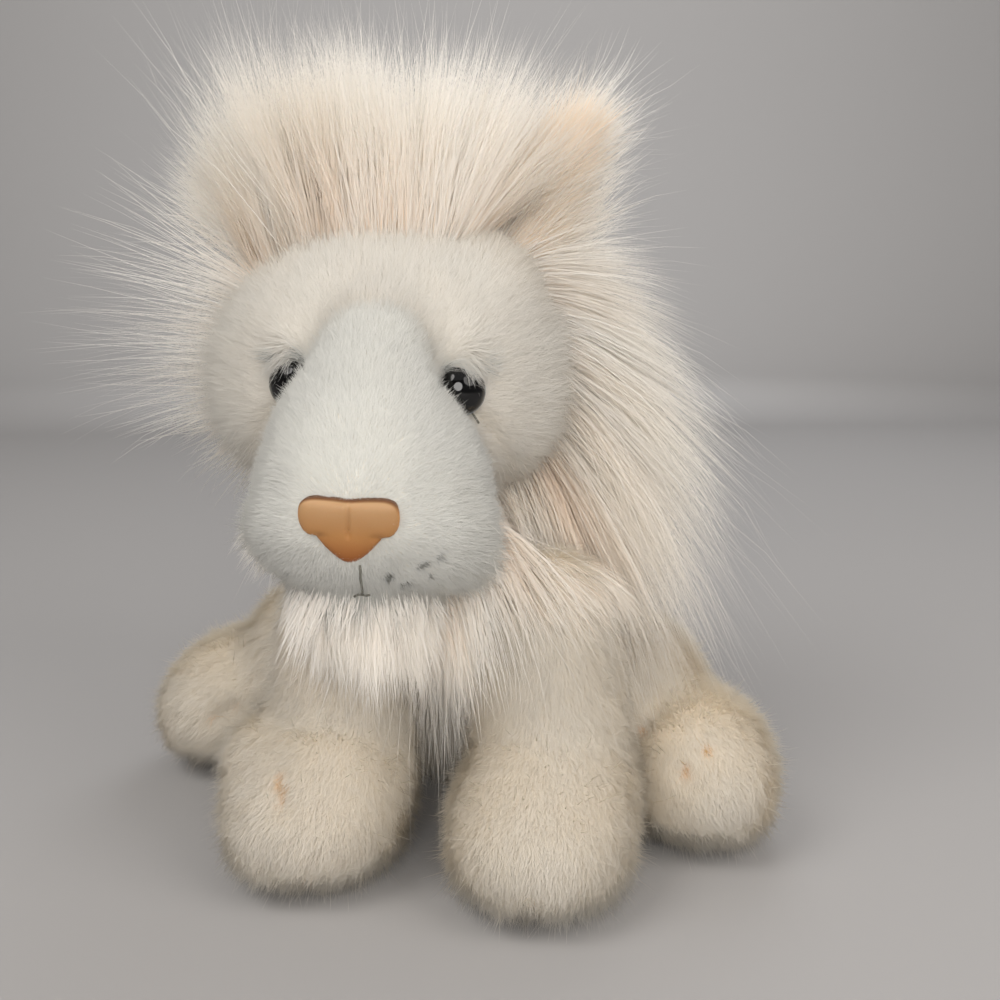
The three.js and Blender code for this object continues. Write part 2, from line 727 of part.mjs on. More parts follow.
function buildMane() {
  const crownRow = (behind, backAngle, length) => ({
    locks: crownLocks,
    thickness: crownThickness,
    rootAt: (share) => {
      const across = 2 * share - 1;
      return vector((crownWidth / 2) * across, behind, crownSeatHeight - crownDrop * across * across);
    },
    directionAt: (share) =>
      aimed(crownFanAngle * (2 * share - 1), 0)
        .addScaledVector(Y_AXIS, Math.tan(radians(backAngle)))
        .normalize(),
    lengthAt: () => length,
  });
  const frontRow = crownRow(-crownForward, crownBackAngle, crownLength);
  const rearRow = crownRow(crownRearBehind, crownRearBackAngle, crownRearLength);
  const crown = (grow) => union(hairFan(frontRow, grow), hairFan(rearRow, grow));
  sew(headGroup, "mane_crown", crown, materials.mane);

  const cheekRoot = (hand, share) => {
    const root = aimed(between(cheekTopAngle, cheekBottomAngle, share), 0).multiplyScalar(cheekRadius);
    return vector(hand * root.x, cheekBehind, root.z);
  };
  const left = {
    locks: leftLocks,
    thickness: sideThickness,
    sag: lockSagShare,
    rootAt: (share) => cheekRoot(1, share),
    directionAt: (share) => aimed(between(leftTopAngle, leftBottomAngle, share), leftSweepAngle),
    lengthAt: (share) => between(leftTopLength, leftBottomLength, Math.pow(share, leftLengthBend)),
  };
  sew(headGroup, "mane_left", (grow) => hairFan(left, grow), materials.mane);
  const right = {
    locks: rightLocks,
    thickness: sideThickness,
    sag: lockSagShare,
    rootAt: (share) => cheekRoot(-1, share),
    directionAt: (share) =>
      aimed(between(rightTopAngle, rightBottomAngle, share), 180 - rightSweepAngle * share * share),
    lengthAt: (share) => between(rightTopLength, rightBottomLength, share),
  };
  sew(headGroup, "mane_right", (grow) => hairFan(right, grow), materials.mane);

  const napeRow = (rowShare) => ({
    locks: napeLocks,
    thickness: napeThickness,
    rootAt: (share) => {
      const across = 2 * share - 1;
      const behind = napeBehind + napeRowBack * rowShare - napeWrap * across * across;
      return vector((napeWidth / 2) * across, behind, napeSeatHeight - napeRowDrop * rowShare);
    },
    directionAt: (share) =>
      aimed(between(napeTopAngle, napeBottomAngle, rowShare), 90 - (napeFanAngle / 2) * (2 * share - 1)),
    lengthAt: () => napeLength,
  });
  const nape = (grow) => union(hairFan(napeRow(0), grow), hairFan(napeRow(1), grow));
  sew(headGroup, "mane_nape", nape, materials.mane);
}

function buildBib() {
  const group = groupAt(0, 0, 0);
  const bibSeatHeight = headCentreHeight - chinDrop - bibBelowChin;
  const chestFront = frontOf(torso(0), 0, bibSeatHeight);
  const bib = {
    locks: bibLocks,
    thickness: bibThickness,
    rootAt: (share) => vector(pawShift + (bibWidth / 2) * (2 * share - 1), chestFront - bibProudness, bibSeatHeight),
    directionAt: (share) => aimed(bibForwardAngle, -90 + bibFanAngle * (2 * share - 1)),
    lengthAt: () => bibLength,
  };
  sew(group, "chest_bib", (grow) => hairFan(bib, grow), materials.mane);
}

// Tail: it lies on the surface, and turns about an upright axis through its root.
function buildTail() {
  const group = groupAt(tailRoot.x, tailRoot.y, 0);
  const restHeight = tailRadius - pressedFlat;
  const tube = {
    spine: [0, 0.2, 0.5, 1].map((share, i) =>
      vector(0, tailLength * share, [tailRootHeight, tailRootHeight * 0.7, restHeight, restHeight][i]),
    ),
    width: 2 * tailRadius,
    depth: 2 * tailRadius,
    widthShares: [1, 1, 1, 1],
    depthShares: [1, 1, 1, 1],
    bluntness: 0.3,
    sides: 12,
    rings: 14,
  };
  const ball = (grow) => {
    const root = new THREE.SphereGeometry(tailRootRadius + grow, roundSteps, roundSteps / 2);
    return solidOf(root.translate(0, 0, tailRootHeight));
  };
  const tail = (grow) => union(stuffedForm(tube, grow), ball(grow));
  const solid = inLion(group, tail(0)).subtract(ground);
  addPiece(group, "tail", inGroup(group, solid), materials.cream);
  taken.push(inLion(group, tail(seamGap)));
  const tuft = {
    spine: [-0.12, 0.25, 0.6, 1].map((share) =>
      vector(0, tailLength + tuftLength * share, (tuftWidth / 2) * (share < 1 ? 1 : tuftTipHeightShare) - pressedFlat),
    ),
    width: tuftWidth,
    depth: tuftWidth,
    widthShares: tuftShares,
    depthShares: tuftShares,
    sides: 12,
    rings: 9,
  };
  sew(group, "tail_tuft", (grow) => stuffedForm(tuft, grow), materials.mane);
}

buildTorso();
buildHead();
for (const [side, hand] of [["left", 1], ["right", -1]]) {
  buildFrontLeg(side, hand);
  buildHindLeg(side, hand);
}
buildMane();
buildBib();
buildTail();

export default lion;
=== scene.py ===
import math
from functools import partial

import bmesh
import bpy
import numpy as np
from mathutils import Matrix, Vector
from mathutils.bvhtree import BVHTree


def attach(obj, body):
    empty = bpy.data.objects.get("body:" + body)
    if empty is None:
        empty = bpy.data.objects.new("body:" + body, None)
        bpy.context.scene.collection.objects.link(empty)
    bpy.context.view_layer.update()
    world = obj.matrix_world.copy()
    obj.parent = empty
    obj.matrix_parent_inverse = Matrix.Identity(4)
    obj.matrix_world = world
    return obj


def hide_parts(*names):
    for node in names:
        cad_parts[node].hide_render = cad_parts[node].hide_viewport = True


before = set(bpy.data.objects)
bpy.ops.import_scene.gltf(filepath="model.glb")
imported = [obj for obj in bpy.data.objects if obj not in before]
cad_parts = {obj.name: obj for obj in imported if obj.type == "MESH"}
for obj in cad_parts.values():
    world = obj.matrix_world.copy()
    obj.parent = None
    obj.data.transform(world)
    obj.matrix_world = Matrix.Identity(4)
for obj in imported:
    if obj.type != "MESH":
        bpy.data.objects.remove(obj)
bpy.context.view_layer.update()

MM = 0.001
BODY, TAIL = "lion", "tail"
GROUND_ROOM = 0.6 * MM
WHITE_TIP = "#fdfbf6"


# Small helpers
def add_node(tree, kind, inputs=None, **settings):
    """Adds one node. settings are the node's own. inputs are its sockets, by name or number, and each is a value, a
    socket, or a node, whose first output is meant."""
    node = tree.nodes.new(kind)
    for name, value in settings.items():
        setattr(node, name, value)
    for key, value in (inputs or {}).items():
        by_name = isinstance(key, str)
        socket = next(s for s in node.inputs if s.name == key and s.enabled) if by_name else node.inputs[key]
        if isinstance(value, bpy.types.Node):
            value = next(s for s in value.outputs if s.enabled)
        if isinstance(value, bpy.types.NodeSocket):
            tree.links.new(value, socket)
        else:
            socket.default_value = value
    return node


def colour(hex_text):
    """An sRGB colour such as #f2e6d0, as the linear colour that a shader takes."""
    parts = [int(hex_text[i:i + 2], 16) / 255 for i in (1, 3, 5)]
    return (*[c / 12.92 if c <= 0.04045 else ((c + 0.055) / 1.055) ** 2.4 for c in parts], 1.0)


def smooth_step(low, high, values):
    t = np.clip((np.asarray(values, float) - low) / (high - low), 0, 1)
    return t * t * (3 - 2 * t)


def along_table(places, values, at):
    """Reads a table that gives values at rising places, in straight lines between them."""
    return np.interp(at, places, values)


def unit(vectors):
    vectors = np.asarray(vectors, float)
    return vectors / np.maximum(np.linalg.norm(vectors, axis=-1, keepdims=True), 1e-9)


def bump_at(points, centre, radius):
    """1 at the centre, falling to 0 a little outside the radius."""
    return np.exp(-((np.asarray(points) - np.asarray(centre)) ** 2).sum(-1) / (radius * radius))


def ring_faces(first, rings, sides, outwards=True):
    """Four-sided faces between rings of points, which follow each other in a mesh from its point number first."""
    faces = []
    for ring in range(rings - 1):
        for i in range(sides):
            a, b = first + ring * sides + i, first + ring * sides + (i + 1) % sides
            faces.append((a, b, b + sides, a + sides) if outwards else (a, a + sides, b + sides, b))
    return faces


def even_turns(sides):
    """The angles of a whole turn at even steps, in radians."""
    return [2 * math.pi * i / sides for i in range(sides)]


# Camera, floor and light
PHOTO_FOCAL_PIXELS, PHOTO_SIDE = 1144.0, 1000.0
EYE_POINT = Vector((0.102, -0.4245, 0.190))
LOOKING = Vector((-0.212, 0.956, -0.203)).normalized()
TO_THE_RIGHT = (Vector((0.976, 0.216, 0.0)) - LOOKING * LOOKING.dot(Vector((0.976, 0.216, 0.0)))).normalized()
UPWARDS = TO_THE_RIGHT.cross(LOOKING)

camera_data = bpy.data.cameras.new("photo_camera")
camera_data.sensor_width = 36
camera_data.lens = 36 * PHOTO_FOCAL_PIXELS / PHOTO_SIDE
camera_data.clip_start, camera_data.clip_end = 0.01, 20
camera = bpy.data.objects.new("photo_camera", camera_data)
camera.matrix_world = Matrix.Translation(EYE_POINT) @ Matrix((TO_THE_RIGHT, UPWARDS, -LOOKING)).transposed().to_4x4()
bpy.context.scene.collection.objects.link(camera)
bpy.context.scene.camera = camera


def sight_line(across, down):
    """The direction from the camera through a place in the picture, in its thousandths from the left and the top."""
    x, y = across - PHOTO_SIDE / 2, PHOTO_SIDE / 2 - down
    return (LOOKING * PHOTO_FOCAL_PIXELS + TO_THE_RIGHT * x + UPWARDS * y).normalized()


def soft_light(name, place, aim, size, power, tint):
    data = bpy.data.lights.new(name, "AREA")
    data.shape, data.size = "DISK", size
    data.energy, data.color = power, colour(tint)[:3]
    light = bpy.data.objects.new(name, data)
    light.location = place
    light.rotation_euler = (Vector(aim) - Vector(place)).to_track_quat("-Z", "Y").to_euler()
    bpy.context.scene.collection.objects.link(light)


soft_light("window_light", (-0.60, -0.80, 1.30), (-0.01, -0.05, 0.12), 0.9, 9.5, "#fffcf8")
soft_light("side_light", (0.85, -0.45, 0.80), (0.02, 0, 0.12), 0.8, 4.8, "#fffaf5")
soft_light("front_light", (0.30, -1.15, 0.50), (0.02, -0.05, 0.12), 0.7, 9.0, "#fffcf9")
soft_light("back_light", (0.1, 0.9, 0.9), (0, 0, 0.15), 0.8, 3.5, "#f7faff")
soft_light("backdrop_light", (-0.2, 1.0, 0.9), (-0.6, 2.3, 0.7), 1.0, 12.0, "#ffffff")

world = bpy.data.worlds.new("studio")
world.use_nodes = True
world.node_tree.nodes["Background"].inputs["Color"].default_value = colour("#d9d7d6")
world.node_tree.nodes["Background"].inputs["Strength"].default_value = 0.62
bpy.context.scene.world = world
bpy.context.scene.view_settings.view_transform = "Standard"


# Materials
def new_material(name):
    material = bpy.data.materials.new(name)
    material.use_nodes = True
    tree = material.node_tree
    tree.nodes.clear()
    return material, tree


def acrylic_pile(name, shade_stops, painted_root_shade, tip_whitening, light_through):
    """Acrylic faux fur. Each fibre has one shade and is whiter at its tip, and painted shade darkens it a little
    towards its root, where the fibres shade each other. Light comes through the fine fibres, so the pile looks soft and
    glows at its edge."""
    material, tree = new_material(name)
    place = add_node(tree, "ShaderNodeUVMap", uv_map="OFBake")
    parts = add_node(tree, "ShaderNodeSeparateXYZ", {0: place})
    shades = add_node(tree, "ShaderNodeValToRGB", {0: parts.outputs["X"]})
    ramp = shades.color_ramp
    while len(ramp.elements) < len(shade_stops):
        ramp.elements.new(0.5)
    for stop, (position, hex_text) in zip(ramp.elements, shade_stops):
        stop.position, stop.color = position, colour(hex_text)
    # Painted shade: the fibre's colour is darkened towards its root, where the fibres shade each other.
    root_shade_factor = add_node(tree, "ShaderNodeMapRange", {0: parts.outputs["Y"], 1: 0.0, 2: 0.45, 3: painted_root_shade, 4: 1.0},
                      interpolation_type="SMOOTHSTEP")
    deep = add_node(tree, "ShaderNodeMix", {0: 1.0, 6: shades, 7: root_shade_factor}, data_type="RGBA", blend_type="MULTIPLY")
    white_share = add_node(tree, "ShaderNodeMapRange", {0: parts.outputs["Y"], 1: 0.35, 2: 1.0, 3: 0.0,
                                                        4: tip_whitening}, interpolation_type="SMOOTHSTEP")
    fibre = add_node(tree, "ShaderNodeMix", {0: white_share, 6: deep.outputs[2], 7: colour(WHITE_TIP)},
                     data_type="RGBA", blend_type="MIX")
    gloss = add_node(tree, "ShaderNodeBsdfPrincipled", {"Base Color": fibre.outputs[2], "Roughness": 0.62,
                                                        "Specular IOR Level": 0.25, "IOR": 1.5})
    through = add_node(tree, "ShaderNodeBsdfTranslucent", {"Color": fibre.outputs[2]})
    shader = add_node(tree, "ShaderNodeMixShader", {0: light_through, 1: gloss, 2: through})
    add_node(tree, "ShaderNodeOutputMaterial", {"Surface": shader})
    return material


def backing_cloth(name, hex_text, deeper_hex):
    """The knitted cloth that holds the pile: matte, with loops about 0.9 mm apart and soft patches of a deeper tone."""
    material, tree = new_material(name)
    where = add_node(tree, "ShaderNodeTexCoord")
    patches = add_node(tree, "ShaderNodeTexNoise", {"Vector": where.outputs["Object"], "Scale": 60.0, "Detail": 3.0})
    tint = add_node(tree, "ShaderNodeMix", {0: patches, 6: colour(hex_text), 7: colour(deeper_hex)}, data_type="RGBA")
    loops = add_node(tree, "ShaderNodeTexVoronoi", {"Vector": where.outputs["Object"], "Scale": 1 / (0.9 * MM)})
    relief = add_node(tree, "ShaderNodeBump", {"Height": loops.outputs["Distance"], "Strength": 0.5,
                                               "Distance": 0.2 * MM})
    shader = add_node(tree, "ShaderNodeBsdfPrincipled", {"Base Color": tint.outputs[2], "Roughness": 0.95,
                                                         "Normal": relief, "Sheen Weight": 0.3})
    add_node(tree, "ShaderNodeOutputMaterial", {"Surface": shader})
    return material


# Short pile of the face and body: from left to right the printed grey, the cool white of the muzzle, the warm white of
# the face, the cream of the body, the peach of the ears and the amber that is painted as shade in the toe pits and the
# instep crease.
SHADES = {"grey": 0.0, "amber": 0.99, "cool": 0.30, "white": 0.46, "cream": 0.70, "peach": 0.80}
short_pile = acrylic_pile(
    "acrylic_short_pile",
    [(0.06, "#66665c"), (0.16, "#dcdddb"), (0.32, "#ebebe6"), (0.48, "#efebe3"), (0.72, "#f4ecdd"),
     (0.86, "#fae6d0"), (0.94, "#f3d6b0"), (0.98, "#dab97c")],
    0.94, 0.35, 0.45)
# Long pile of the mane: peach at the backing, whiter towards the tips.
long_pile = acrylic_pile(
    "acrylic_long_pile",
    [(0.0, "#fce5cb"), (0.3, "#fdf3e8"), (0.6, "#fef9f2"), (1.0, "#fffefb")],
    0.98, 0.85, 0.6)
white_cloth = backing_cloth("white_knit_backing", "#ece8df", "#e2dccf")
cream_cloth = backing_cloth("cream_knit_backing", "#f4ebdd", "#eee2cf")
peach_cloth = backing_cloth("peach_knit_backing", "#eed9c0", "#e4caaa")


# Forms: the stuffed skins, blended from the solids of the frame
def linked(name, mesh):
    thing = bpy.data.objects.new(name, mesh)
    bpy.context.scene.collection.objects.link(thing)
    return thing


def baked(thing):
    """Applies an object's modifiers, and leaves it a plain mesh."""
    evaluated = thing.evaluated_get(bpy.context.evaluated_depsgraph_get())
    mesh = bpy.data.meshes.new_from_object(evaluated)
    thing.modifiers.clear()
    old, thing.data = thing.data, mesh
    bpy.data.meshes.remove(old)
    mesh.name = thing.name
    return thing


def points_of(mesh):
    flat = np.empty(len(mesh.vertices) * 3)
    mesh.vertices.foreach_get("co", flat)
    return flat.reshape(-1, 3)


def normals_of(mesh):
    flat = np.empty(len(mesh.vertices) * 3)
    mesh.vertex_normals.foreach_get("vector", flat)
    return flat.reshape(-1, 3)


def move_points(mesh, points):
    mesh.vertices.foreach_set("co", np.ascontiguousarray(points, np.float32).ravel())
    mesh.update()


def relax(mesh, rounds, strength=0.5):
    """Evens out a mesh by drawing each point towards the middle of its neighbours."""
    edges = np.empty(len(mesh.edges) * 2, np.int64)
    mesh.edges.foreach_get("vertices", edges)
    a, b = edges.reshape(-1, 2).T
    count = np.bincount(np.concatenate([a, b]), minlength=len(mesh.vertices))[:, None]
    points = points_of(mesh)
    for _ in range(rounds):
        total = np.zeros_like(points)
        np.add.at(total, a, points[b])
        np.add.at(total, b, points[a])
        points += strength * (total / np.maximum(count, 1) - points)
    move_points(mesh, points)


def stuffed_skin(name, nodes, voxel, rounds, swell=0.6, tuck=0.0):
    """One smooth skin over several solids. The solids swell a little so that they meet, and then the skin is tucked in
    by the room that its pile takes."""
    whole = bmesh.new()
    for node in nodes:
        part = bmesh.new()
        part.from_mesh(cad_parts[node].data)
        bmesh.ops.remove_doubles(part, verts=part.verts, dist=1e-5)
        part.normal_update()
        for vertex in part.verts:
            vertex.co += vertex.normal * swell * MM
        loose = bpy.data.meshes.new("loose")
        part.to_mesh(loose)
        whole.from_mesh(loose)
        bpy.data.meshes.remove(loose)
        part.free()
    mesh = bpy.data.meshes.new(name)
    whole.to_mesh(mesh)
    whole.free()
    skin = linked(name, mesh)
    blend = skin.modifiers.new("blend", "REMESH")
    blend.mode, blend.voxel_size = "VOXEL", voxel * MM
    baked(skin)
    keep_largest(skin.data)
    relax(skin.data, rounds)
    move_points(skin.data, points_of(skin.data) - normals_of(skin.data) * (tuck + swell) * MM)
    skin.data.shade_smooth()
    return skin


def keep_largest(mesh):
    """Removes the small closed pockets that blending can leave inside a form."""
    shape = bmesh.new()
    shape.from_mesh(mesh)
    left, best = set(shape.verts), []
    while left:
        seed = left.pop()
        island, edge = [seed], [seed]
        while edge:
            vertex = edge.pop()
            for link in vertex.link_edges:
                other = link.other_vert(vertex)
                if other in left:
                    left.discard(other)
                    island.append(other)
                    edge.append(other)
        if len(island) > len(best):
            best = island
    keep = set(best)
    bmesh.ops.delete(shape, geom=[v for v in shape.verts if v not in keep], context="VERTS")
    shape.to_mesh(mesh)
    shape.free()


def search_tree(mesh):
    shape = bmesh.new()
    shape.from_mesh(mesh)
    tree = BVHTree.FromBMesh(shape)
    shape.free()
    return tree


def met_by_sight(thing, across, down):
    """The point of a form that shows at a place in the picture, or else its point nearest to that line of sight."""
    tree, way = search_tree(thing.data), sight_line(across, down)
    place, *_ = tree.ray_cast(EYE_POINT, way)
    if place is None:
        nearest = [tree.find_nearest(EYE_POINT + way * far * MM) for far in range(200, 600, 4)]
        place = min(nearest, key=lambda found: found[3])[0]
    return np.array(place)


HEAD = (Matrix.Translation((-0.017, -0.053, 0.155)) @ Matrix.Rotation(math.radians(10.5), 4, "Z")
        @ Matrix.Rotation(math.radians(2), 4, "Y"))
HEAD_TURN = np.array(HEAD.to_3x3())


def in_head(points):
    """Points in millimetres in the head's own frame: x to its left, y backwards, z up."""
    return ((np.asarray(points) - np.array(HEAD.translation)) @ HEAD_TURN) / MM


def from_head(vectors):
    """Directions of the head's own frame, in the frame of the whole lion."""
    return np.asarray(vectors) @ HEAD_TURN.T


def at_head(point):
    return np.array(HEAD @ (Vector(point) * MM))


# Each stuffed piece: its solids, the grain of their blend in mm, the rounds that even it out, and its pile's room.
STUFFED = {
    "head": (["head_skin", "head_filling", "muzzle", "chin"], 2.0, 9, 0.6),
    "torso": (["torso_skin", "torso_filling", "seat_panel"], 2.6, 8, 3.0),
    "ear_left": (["ear_left"], 1.2, 4, 0.0),
    "ear_right": (["ear_right"], 1.2, 4, 0.0),
    "tail": (["tail"], 1.4, 4, 2.0),
    **{limb: ([limb, f"{limb}_sole"], 2.2, 22, 2.4)
       for limb in ("front_leg_left", "hind_leg_left", "front_leg_right", "hind_leg_right")},
}
skins = {}
for piece, (nodes, grain, rounds, pile_room) in STUFFED.items():
    skin = stuffed_skin(f"{piece}_plush", nodes, grain, rounds, tuck=pile_room)
    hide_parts(*[node for node in nodes if not node.endswith("_filling")])
    skins[skin.name] = skin


# The left ear leans out, comes to a point and is a little longer than its solid. The right one lies back under hair.
EAR_LEAN, EAR_STRETCH, EAR_INWARDS = math.radians(34), 1.12, 5.0
EAR_AXIS = np.array([math.sin(EAR_LEAN), 0, math.cos(EAR_LEAN)])
for side, hand, out_angle, back_angle in (("left", 1, 10, 0), ("right", -1, -6, 46)):
    foot = Vector((hand * 34.0, 4.0, 34.0))
    bend = Matrix.Rotation(math.radians(hand * out_angle), 3, "Y") @ Matrix.Rotation(math.radians(-back_angle), 3, "X")
    bent = (in_head(points_of(skins[f"ear_{side}_plush"].data)) - np.array(foot)) @ np.array(bend).T
    if side == "left":
        up_the_ear = bent @ EAR_AXIS
        across_ear = bent - up_the_ear[:, None] * EAR_AXIS
        pointed = 1 - 0.6 * smooth_step(14, 48, up_the_ear)
        bent = across_ear * pointed[:, None] + (up_the_ear * EAR_STRETCH)[:, None] * EAR_AXIS - (EAR_INWARDS, 0, 0)
    move_points(skins[f"ear_{side}_plush"].data, from_head((bent + np.array(foot)) * MM) + np.array(HEAD.translation))


# Pile and hair: one tree grows it from a skin
def fibre_pattern(steps):
    """One flat fibre with a pointed tip. Its points carry how far along and how far across the fibre they are."""
    places = [(side, i / steps) for i in range(steps) for side in (-1.0, 1.0)] + [(0.0, 1.0)]
    faces = [(2 * i, 2 * i + 1, 2 * i + 3, 2 * i + 2) for i in range(steps - 1)]
    faces.append((2 * steps - 2, 2 * steps - 1, 2 * steps))
    mesh = bpy.data.meshes.new(f"fibre_pattern_{steps}")
    mesh.from_pydata([(x * MM, y * MM, 0) for x, y in places], [], faces)
    for name, column in (("across", 0), ("along", 1)):
        mesh.attributes.new(name, "FLOAT", "POINT").data.foreach_set("value", [p[column] for p in places])
    return linked(mesh.name, mesh)


MATH, VECTOR = "ShaderNodeMath", "ShaderNodeVectorMath"
CARRIED, KEPT = "GeometryNodeInputNamedAttribute", "GeometryNodeStoreNamedAttribute"
PILE_SIZES = ("Fibres per square metre", "Width", "Taper", "Rise at root", "Rise at tip", "Tangle", "Droop",
              "Unevenness", "Lock size", "Lock pull", "Lock wander", "Wave", "Shade spread", "Stray length",
              "Mass share", "Highest")
PILE_INPUTS = {"Fibre": "NodeSocketObject", "Seed": "NodeSocketInt", "Mass centre": "NodeSocketVector",
               "Material": "NodeSocketMaterial", **dict.fromkeys(PILE_SIZES, "NodeSocketFloat")}
PILE_MARKS = ("root", "outward", "whim", "chance", "along", "across", "comb", "pile", "shade", "density", "facing")


def make_pile_tree():
    tree = bpy.data.node_groups.new("grow_pile", "GeometryNodeTree")
    tree.interface.new_socket("Cloth", in_out="INPUT", socket_type="NodeSocketGeometry")
    for name, kind in PILE_INPUTS.items():
        tree.interface.new_socket(name, in_out="INPUT", socket_type=kind)
    tree.interface.new_socket("Pile", in_out="OUTPUT", socket_type="NodeSocketGeometry")
    add = partial(add_node, tree)
    given = add("NodeGroupInput").outputs

    density = add(MATH, {0: add(CARRIED, {"Name": "density"}), 1: given["Fibres per square metre"]},
                  operation="MULTIPLY")
    sown = add("GeometryNodeDistributePointsOnFaces",
               {"Mesh": given["Cloth"], "Density": density, "Seed": given["Seed"]}, distribute_method="RANDOM")
    any_way = add("FunctionNodeRandomValue", {"Min": (-1, -1, -1), "Max": (1, 1, 1), "Seed": given["Seed"]},
                  data_type="FLOAT_VECTOR")
    stored = sown
    for name, value in (("root", add("GeometryNodeInputPosition")), ("outward", sown.outputs["Normal"]),
                        ("whim", any_way)):
        stored = add(KEPT, {"Geometry": stored, "Name": name, "Value": value},
                     data_type="FLOAT_VECTOR", domain="POINT")
    any_share = add("FunctionNodeRandomValue", {"Min": 0.0, "Max": 1.0, "Seed": 7}, data_type="FLOAT")
    stored = add(KEPT, {"Geometry": stored, "Name": "chance", "Value": any_share}, data_type="FLOAT", domain="POINT")
    pattern = add("GeometryNodeObjectInfo", {"Object": given["Fibre"]})
    planted = add("GeometryNodeInstanceOnPoints", {"Points": stored, "Instance": pattern.outputs["Geometry"]})
    fibres = add("GeometryNodeRealizeInstances", {"Geometry": planted})

    along, across, chance, pile, shade = (add(CARRIED, {"Name": name}, data_type="FLOAT")
                                          for name in ("along", "across", "chance", "pile", "shade"))
    root, outward, whim, comb = (add(CARRIED, {"Name": name}, data_type="FLOAT_VECTOR")
                                 for name in ("root", "outward", "whim", "comb"))

    # Locks: fibres of one cell share a direction and lean together towards their tips.
    fineness = add(MATH, {0: 1.0, 1: given["Lock size"]}, operation="DIVIDE")
    cells = add("ShaderNodeTexVoronoi", {"Vector": root, "Scale": fineness})
    to_cell = add(VECTOR, {0: cells.outputs["Position"], 1: root}, operation="SUBTRACT")
    height_share = add(VECTOR, {0: to_cell, 1: outward}, operation="DOT_PRODUCT").outputs["Value"]
    off_cloth = add(VECTOR, {0: outward, "Scale": height_share}, operation="SCALE")
    to_cell = add(VECTOR, {0: to_cell, 1: off_cloth}, operation="SUBTRACT")
    wander = add(VECTOR, {0: cells.outputs["Color"], 1: (0.5, 0.5, 0.5)}, operation="SUBTRACT")
    wander_share = add(MATH, {0: given["Lock wander"], 1: 2.0}, operation="MULTIPLY")
    wander = add(VECTOR, {0: wander, "Scale": wander_share}, operation="SCALE")

    # A few fibres in each hundred stray further than the rest.
    strays = add(MATH, {0: chance, 1: 0.93}, operation="GREATER_THAN")
    stray = add(MATH, {0: strays, 1: 1.2, 2: 1.0}, operation="MULTIPLY_ADD")
    stray = add(MATH, {0: stray, 1: given["Tangle"]}, operation="MULTIPLY")
    heading = add(VECTOR, {0: whim, 1: stray, 2: comb}, operation="MULTIPLY_ADD")
    heading = add(VECTOR, {0: heading, 1: wander}, operation="ADD")
    first = add(VECTOR, {0: outward, 1: given["Rise at root"], 2: heading}, operation="MULTIPLY_ADD")
    first = add(VECTOR, {0: first}, operation="NORMALIZE")
    droop = add(MATH, {0: given["Droop"], 1: -1.0}, operation="MULTIPLY")
    last = add(VECTOR, {0: heading, 1: add("ShaderNodeCombineXYZ", {"Z": droop})}, operation="ADD")
    last = add(VECTOR, {0: outward, 1: given["Rise at tip"], 2: last}, operation="MULTIPLY_ADD")
    last = add(VECTOR, {0: last}, operation="NORMALIZE")

    # Each fibre is a curve that leaves its root along first and ends along last.
    number = add(MATH, {0: chance, 1: 9999.0}, operation="MULTIPLY")
    uneven = add("FunctionNodeRandomValue", {"Min": -1.0, "Max": 0.35, "ID": number, "Seed": 3}, data_type="FLOAT")
    uneven = add(MATH, {0: uneven, 1: given["Unevenness"], 2: 1.0}, operation="MULTIPLY_ADD")
    uneven = add(MATH, {0: strays, 1: given["Stray length"], 2: uneven}, operation="MULTIPLY_ADD")
    length = add(MATH, {0: pile, 1: uneven}, operation="MULTIPLY")
    squared = add(MATH, {0: along, 1: along}, operation="MULTIPLY")
    end_share = add(MATH, {0: squared, 1: 0.5}, operation="MULTIPLY")
    start_share = add(MATH, {0: along, 1: end_share}, operation="SUBTRACT")
    path = add(VECTOR, {0: first, "Scale": start_share}, operation="SCALE")
    path = add(VECTOR, {0: last, 1: end_share, 2: path}, operation="MULTIPLY_ADD")
    place = add(VECTOR, {0: path, 1: length, 2: root}, operation="MULTIPLY_ADD")
    pull = add(MATH, {0: given["Lock pull"], 1: squared}, operation="MULTIPLY")
    place = add(VECTOR, {0: to_cell, 1: pull, 2: place}, operation="MULTIPLY_ADD")
    further = add(MATH, {0: along, 1: 1.6}, operation="MULTIPLY")
    ripple_at = add(VECTOR, {0: root, 1: (90.0, 90.0, 90.0), 2: add("ShaderNodeCombineXYZ", {"Z": further})},
                    operation="MULTIPLY_ADD")
    ripple = add("ShaderNodeTexNoise", {"Vector": ripple_at, "Scale": 1.0, "Detail": 1.0})
    ripple = add(VECTOR, {0: ripple.outputs["Color"], 1: (0.5, 0.5, 0.5)}, operation="SUBTRACT")
    wave = add(MATH, {0: given["Wave"], 1: length}, operation="MULTIPLY")
    wave = add(MATH, {0: wave, 1: along}, operation="MULTIPLY")
    place = add(VECTOR, {0: ripple, 1: wave, 2: place}, operation="MULTIPLY_ADD")

    # The fibres take the light as the surface that they make together: facing is that surface's normal, which is the
    # cloth's for short pile, and points away from the middle of the mass for long hair.
    half_way = add(MATH, {0: length, 1: 0.5}, operation="MULTIPLY")
    half_way = add(VECTOR, {0: last, 1: half_way, 2: root}, operation="MULTIPLY_ADD")
    from_centre = add(VECTOR, {0: half_way, 1: given["Mass centre"]}, operation="SUBTRACT")
    with_fibre = add(VECTOR, {0: from_centre, 1: last}, operation="DOT_PRODUCT").outputs["Value"]
    with_fibre = add(VECTOR, {0: last, "Scale": with_fibre}, operation="SCALE")
    from_centre = add(VECTOR, {0: from_centre, 1: with_fibre}, operation="SUBTRACT")
    from_centre = add(VECTOR, {0: from_centre}, operation="NORMALIZE")
    facing = add("ShaderNodeMix", {0: given["Mass share"], 4: outward, 5: from_centre}, data_type="VECTOR")
    facing = facing.outputs[1]

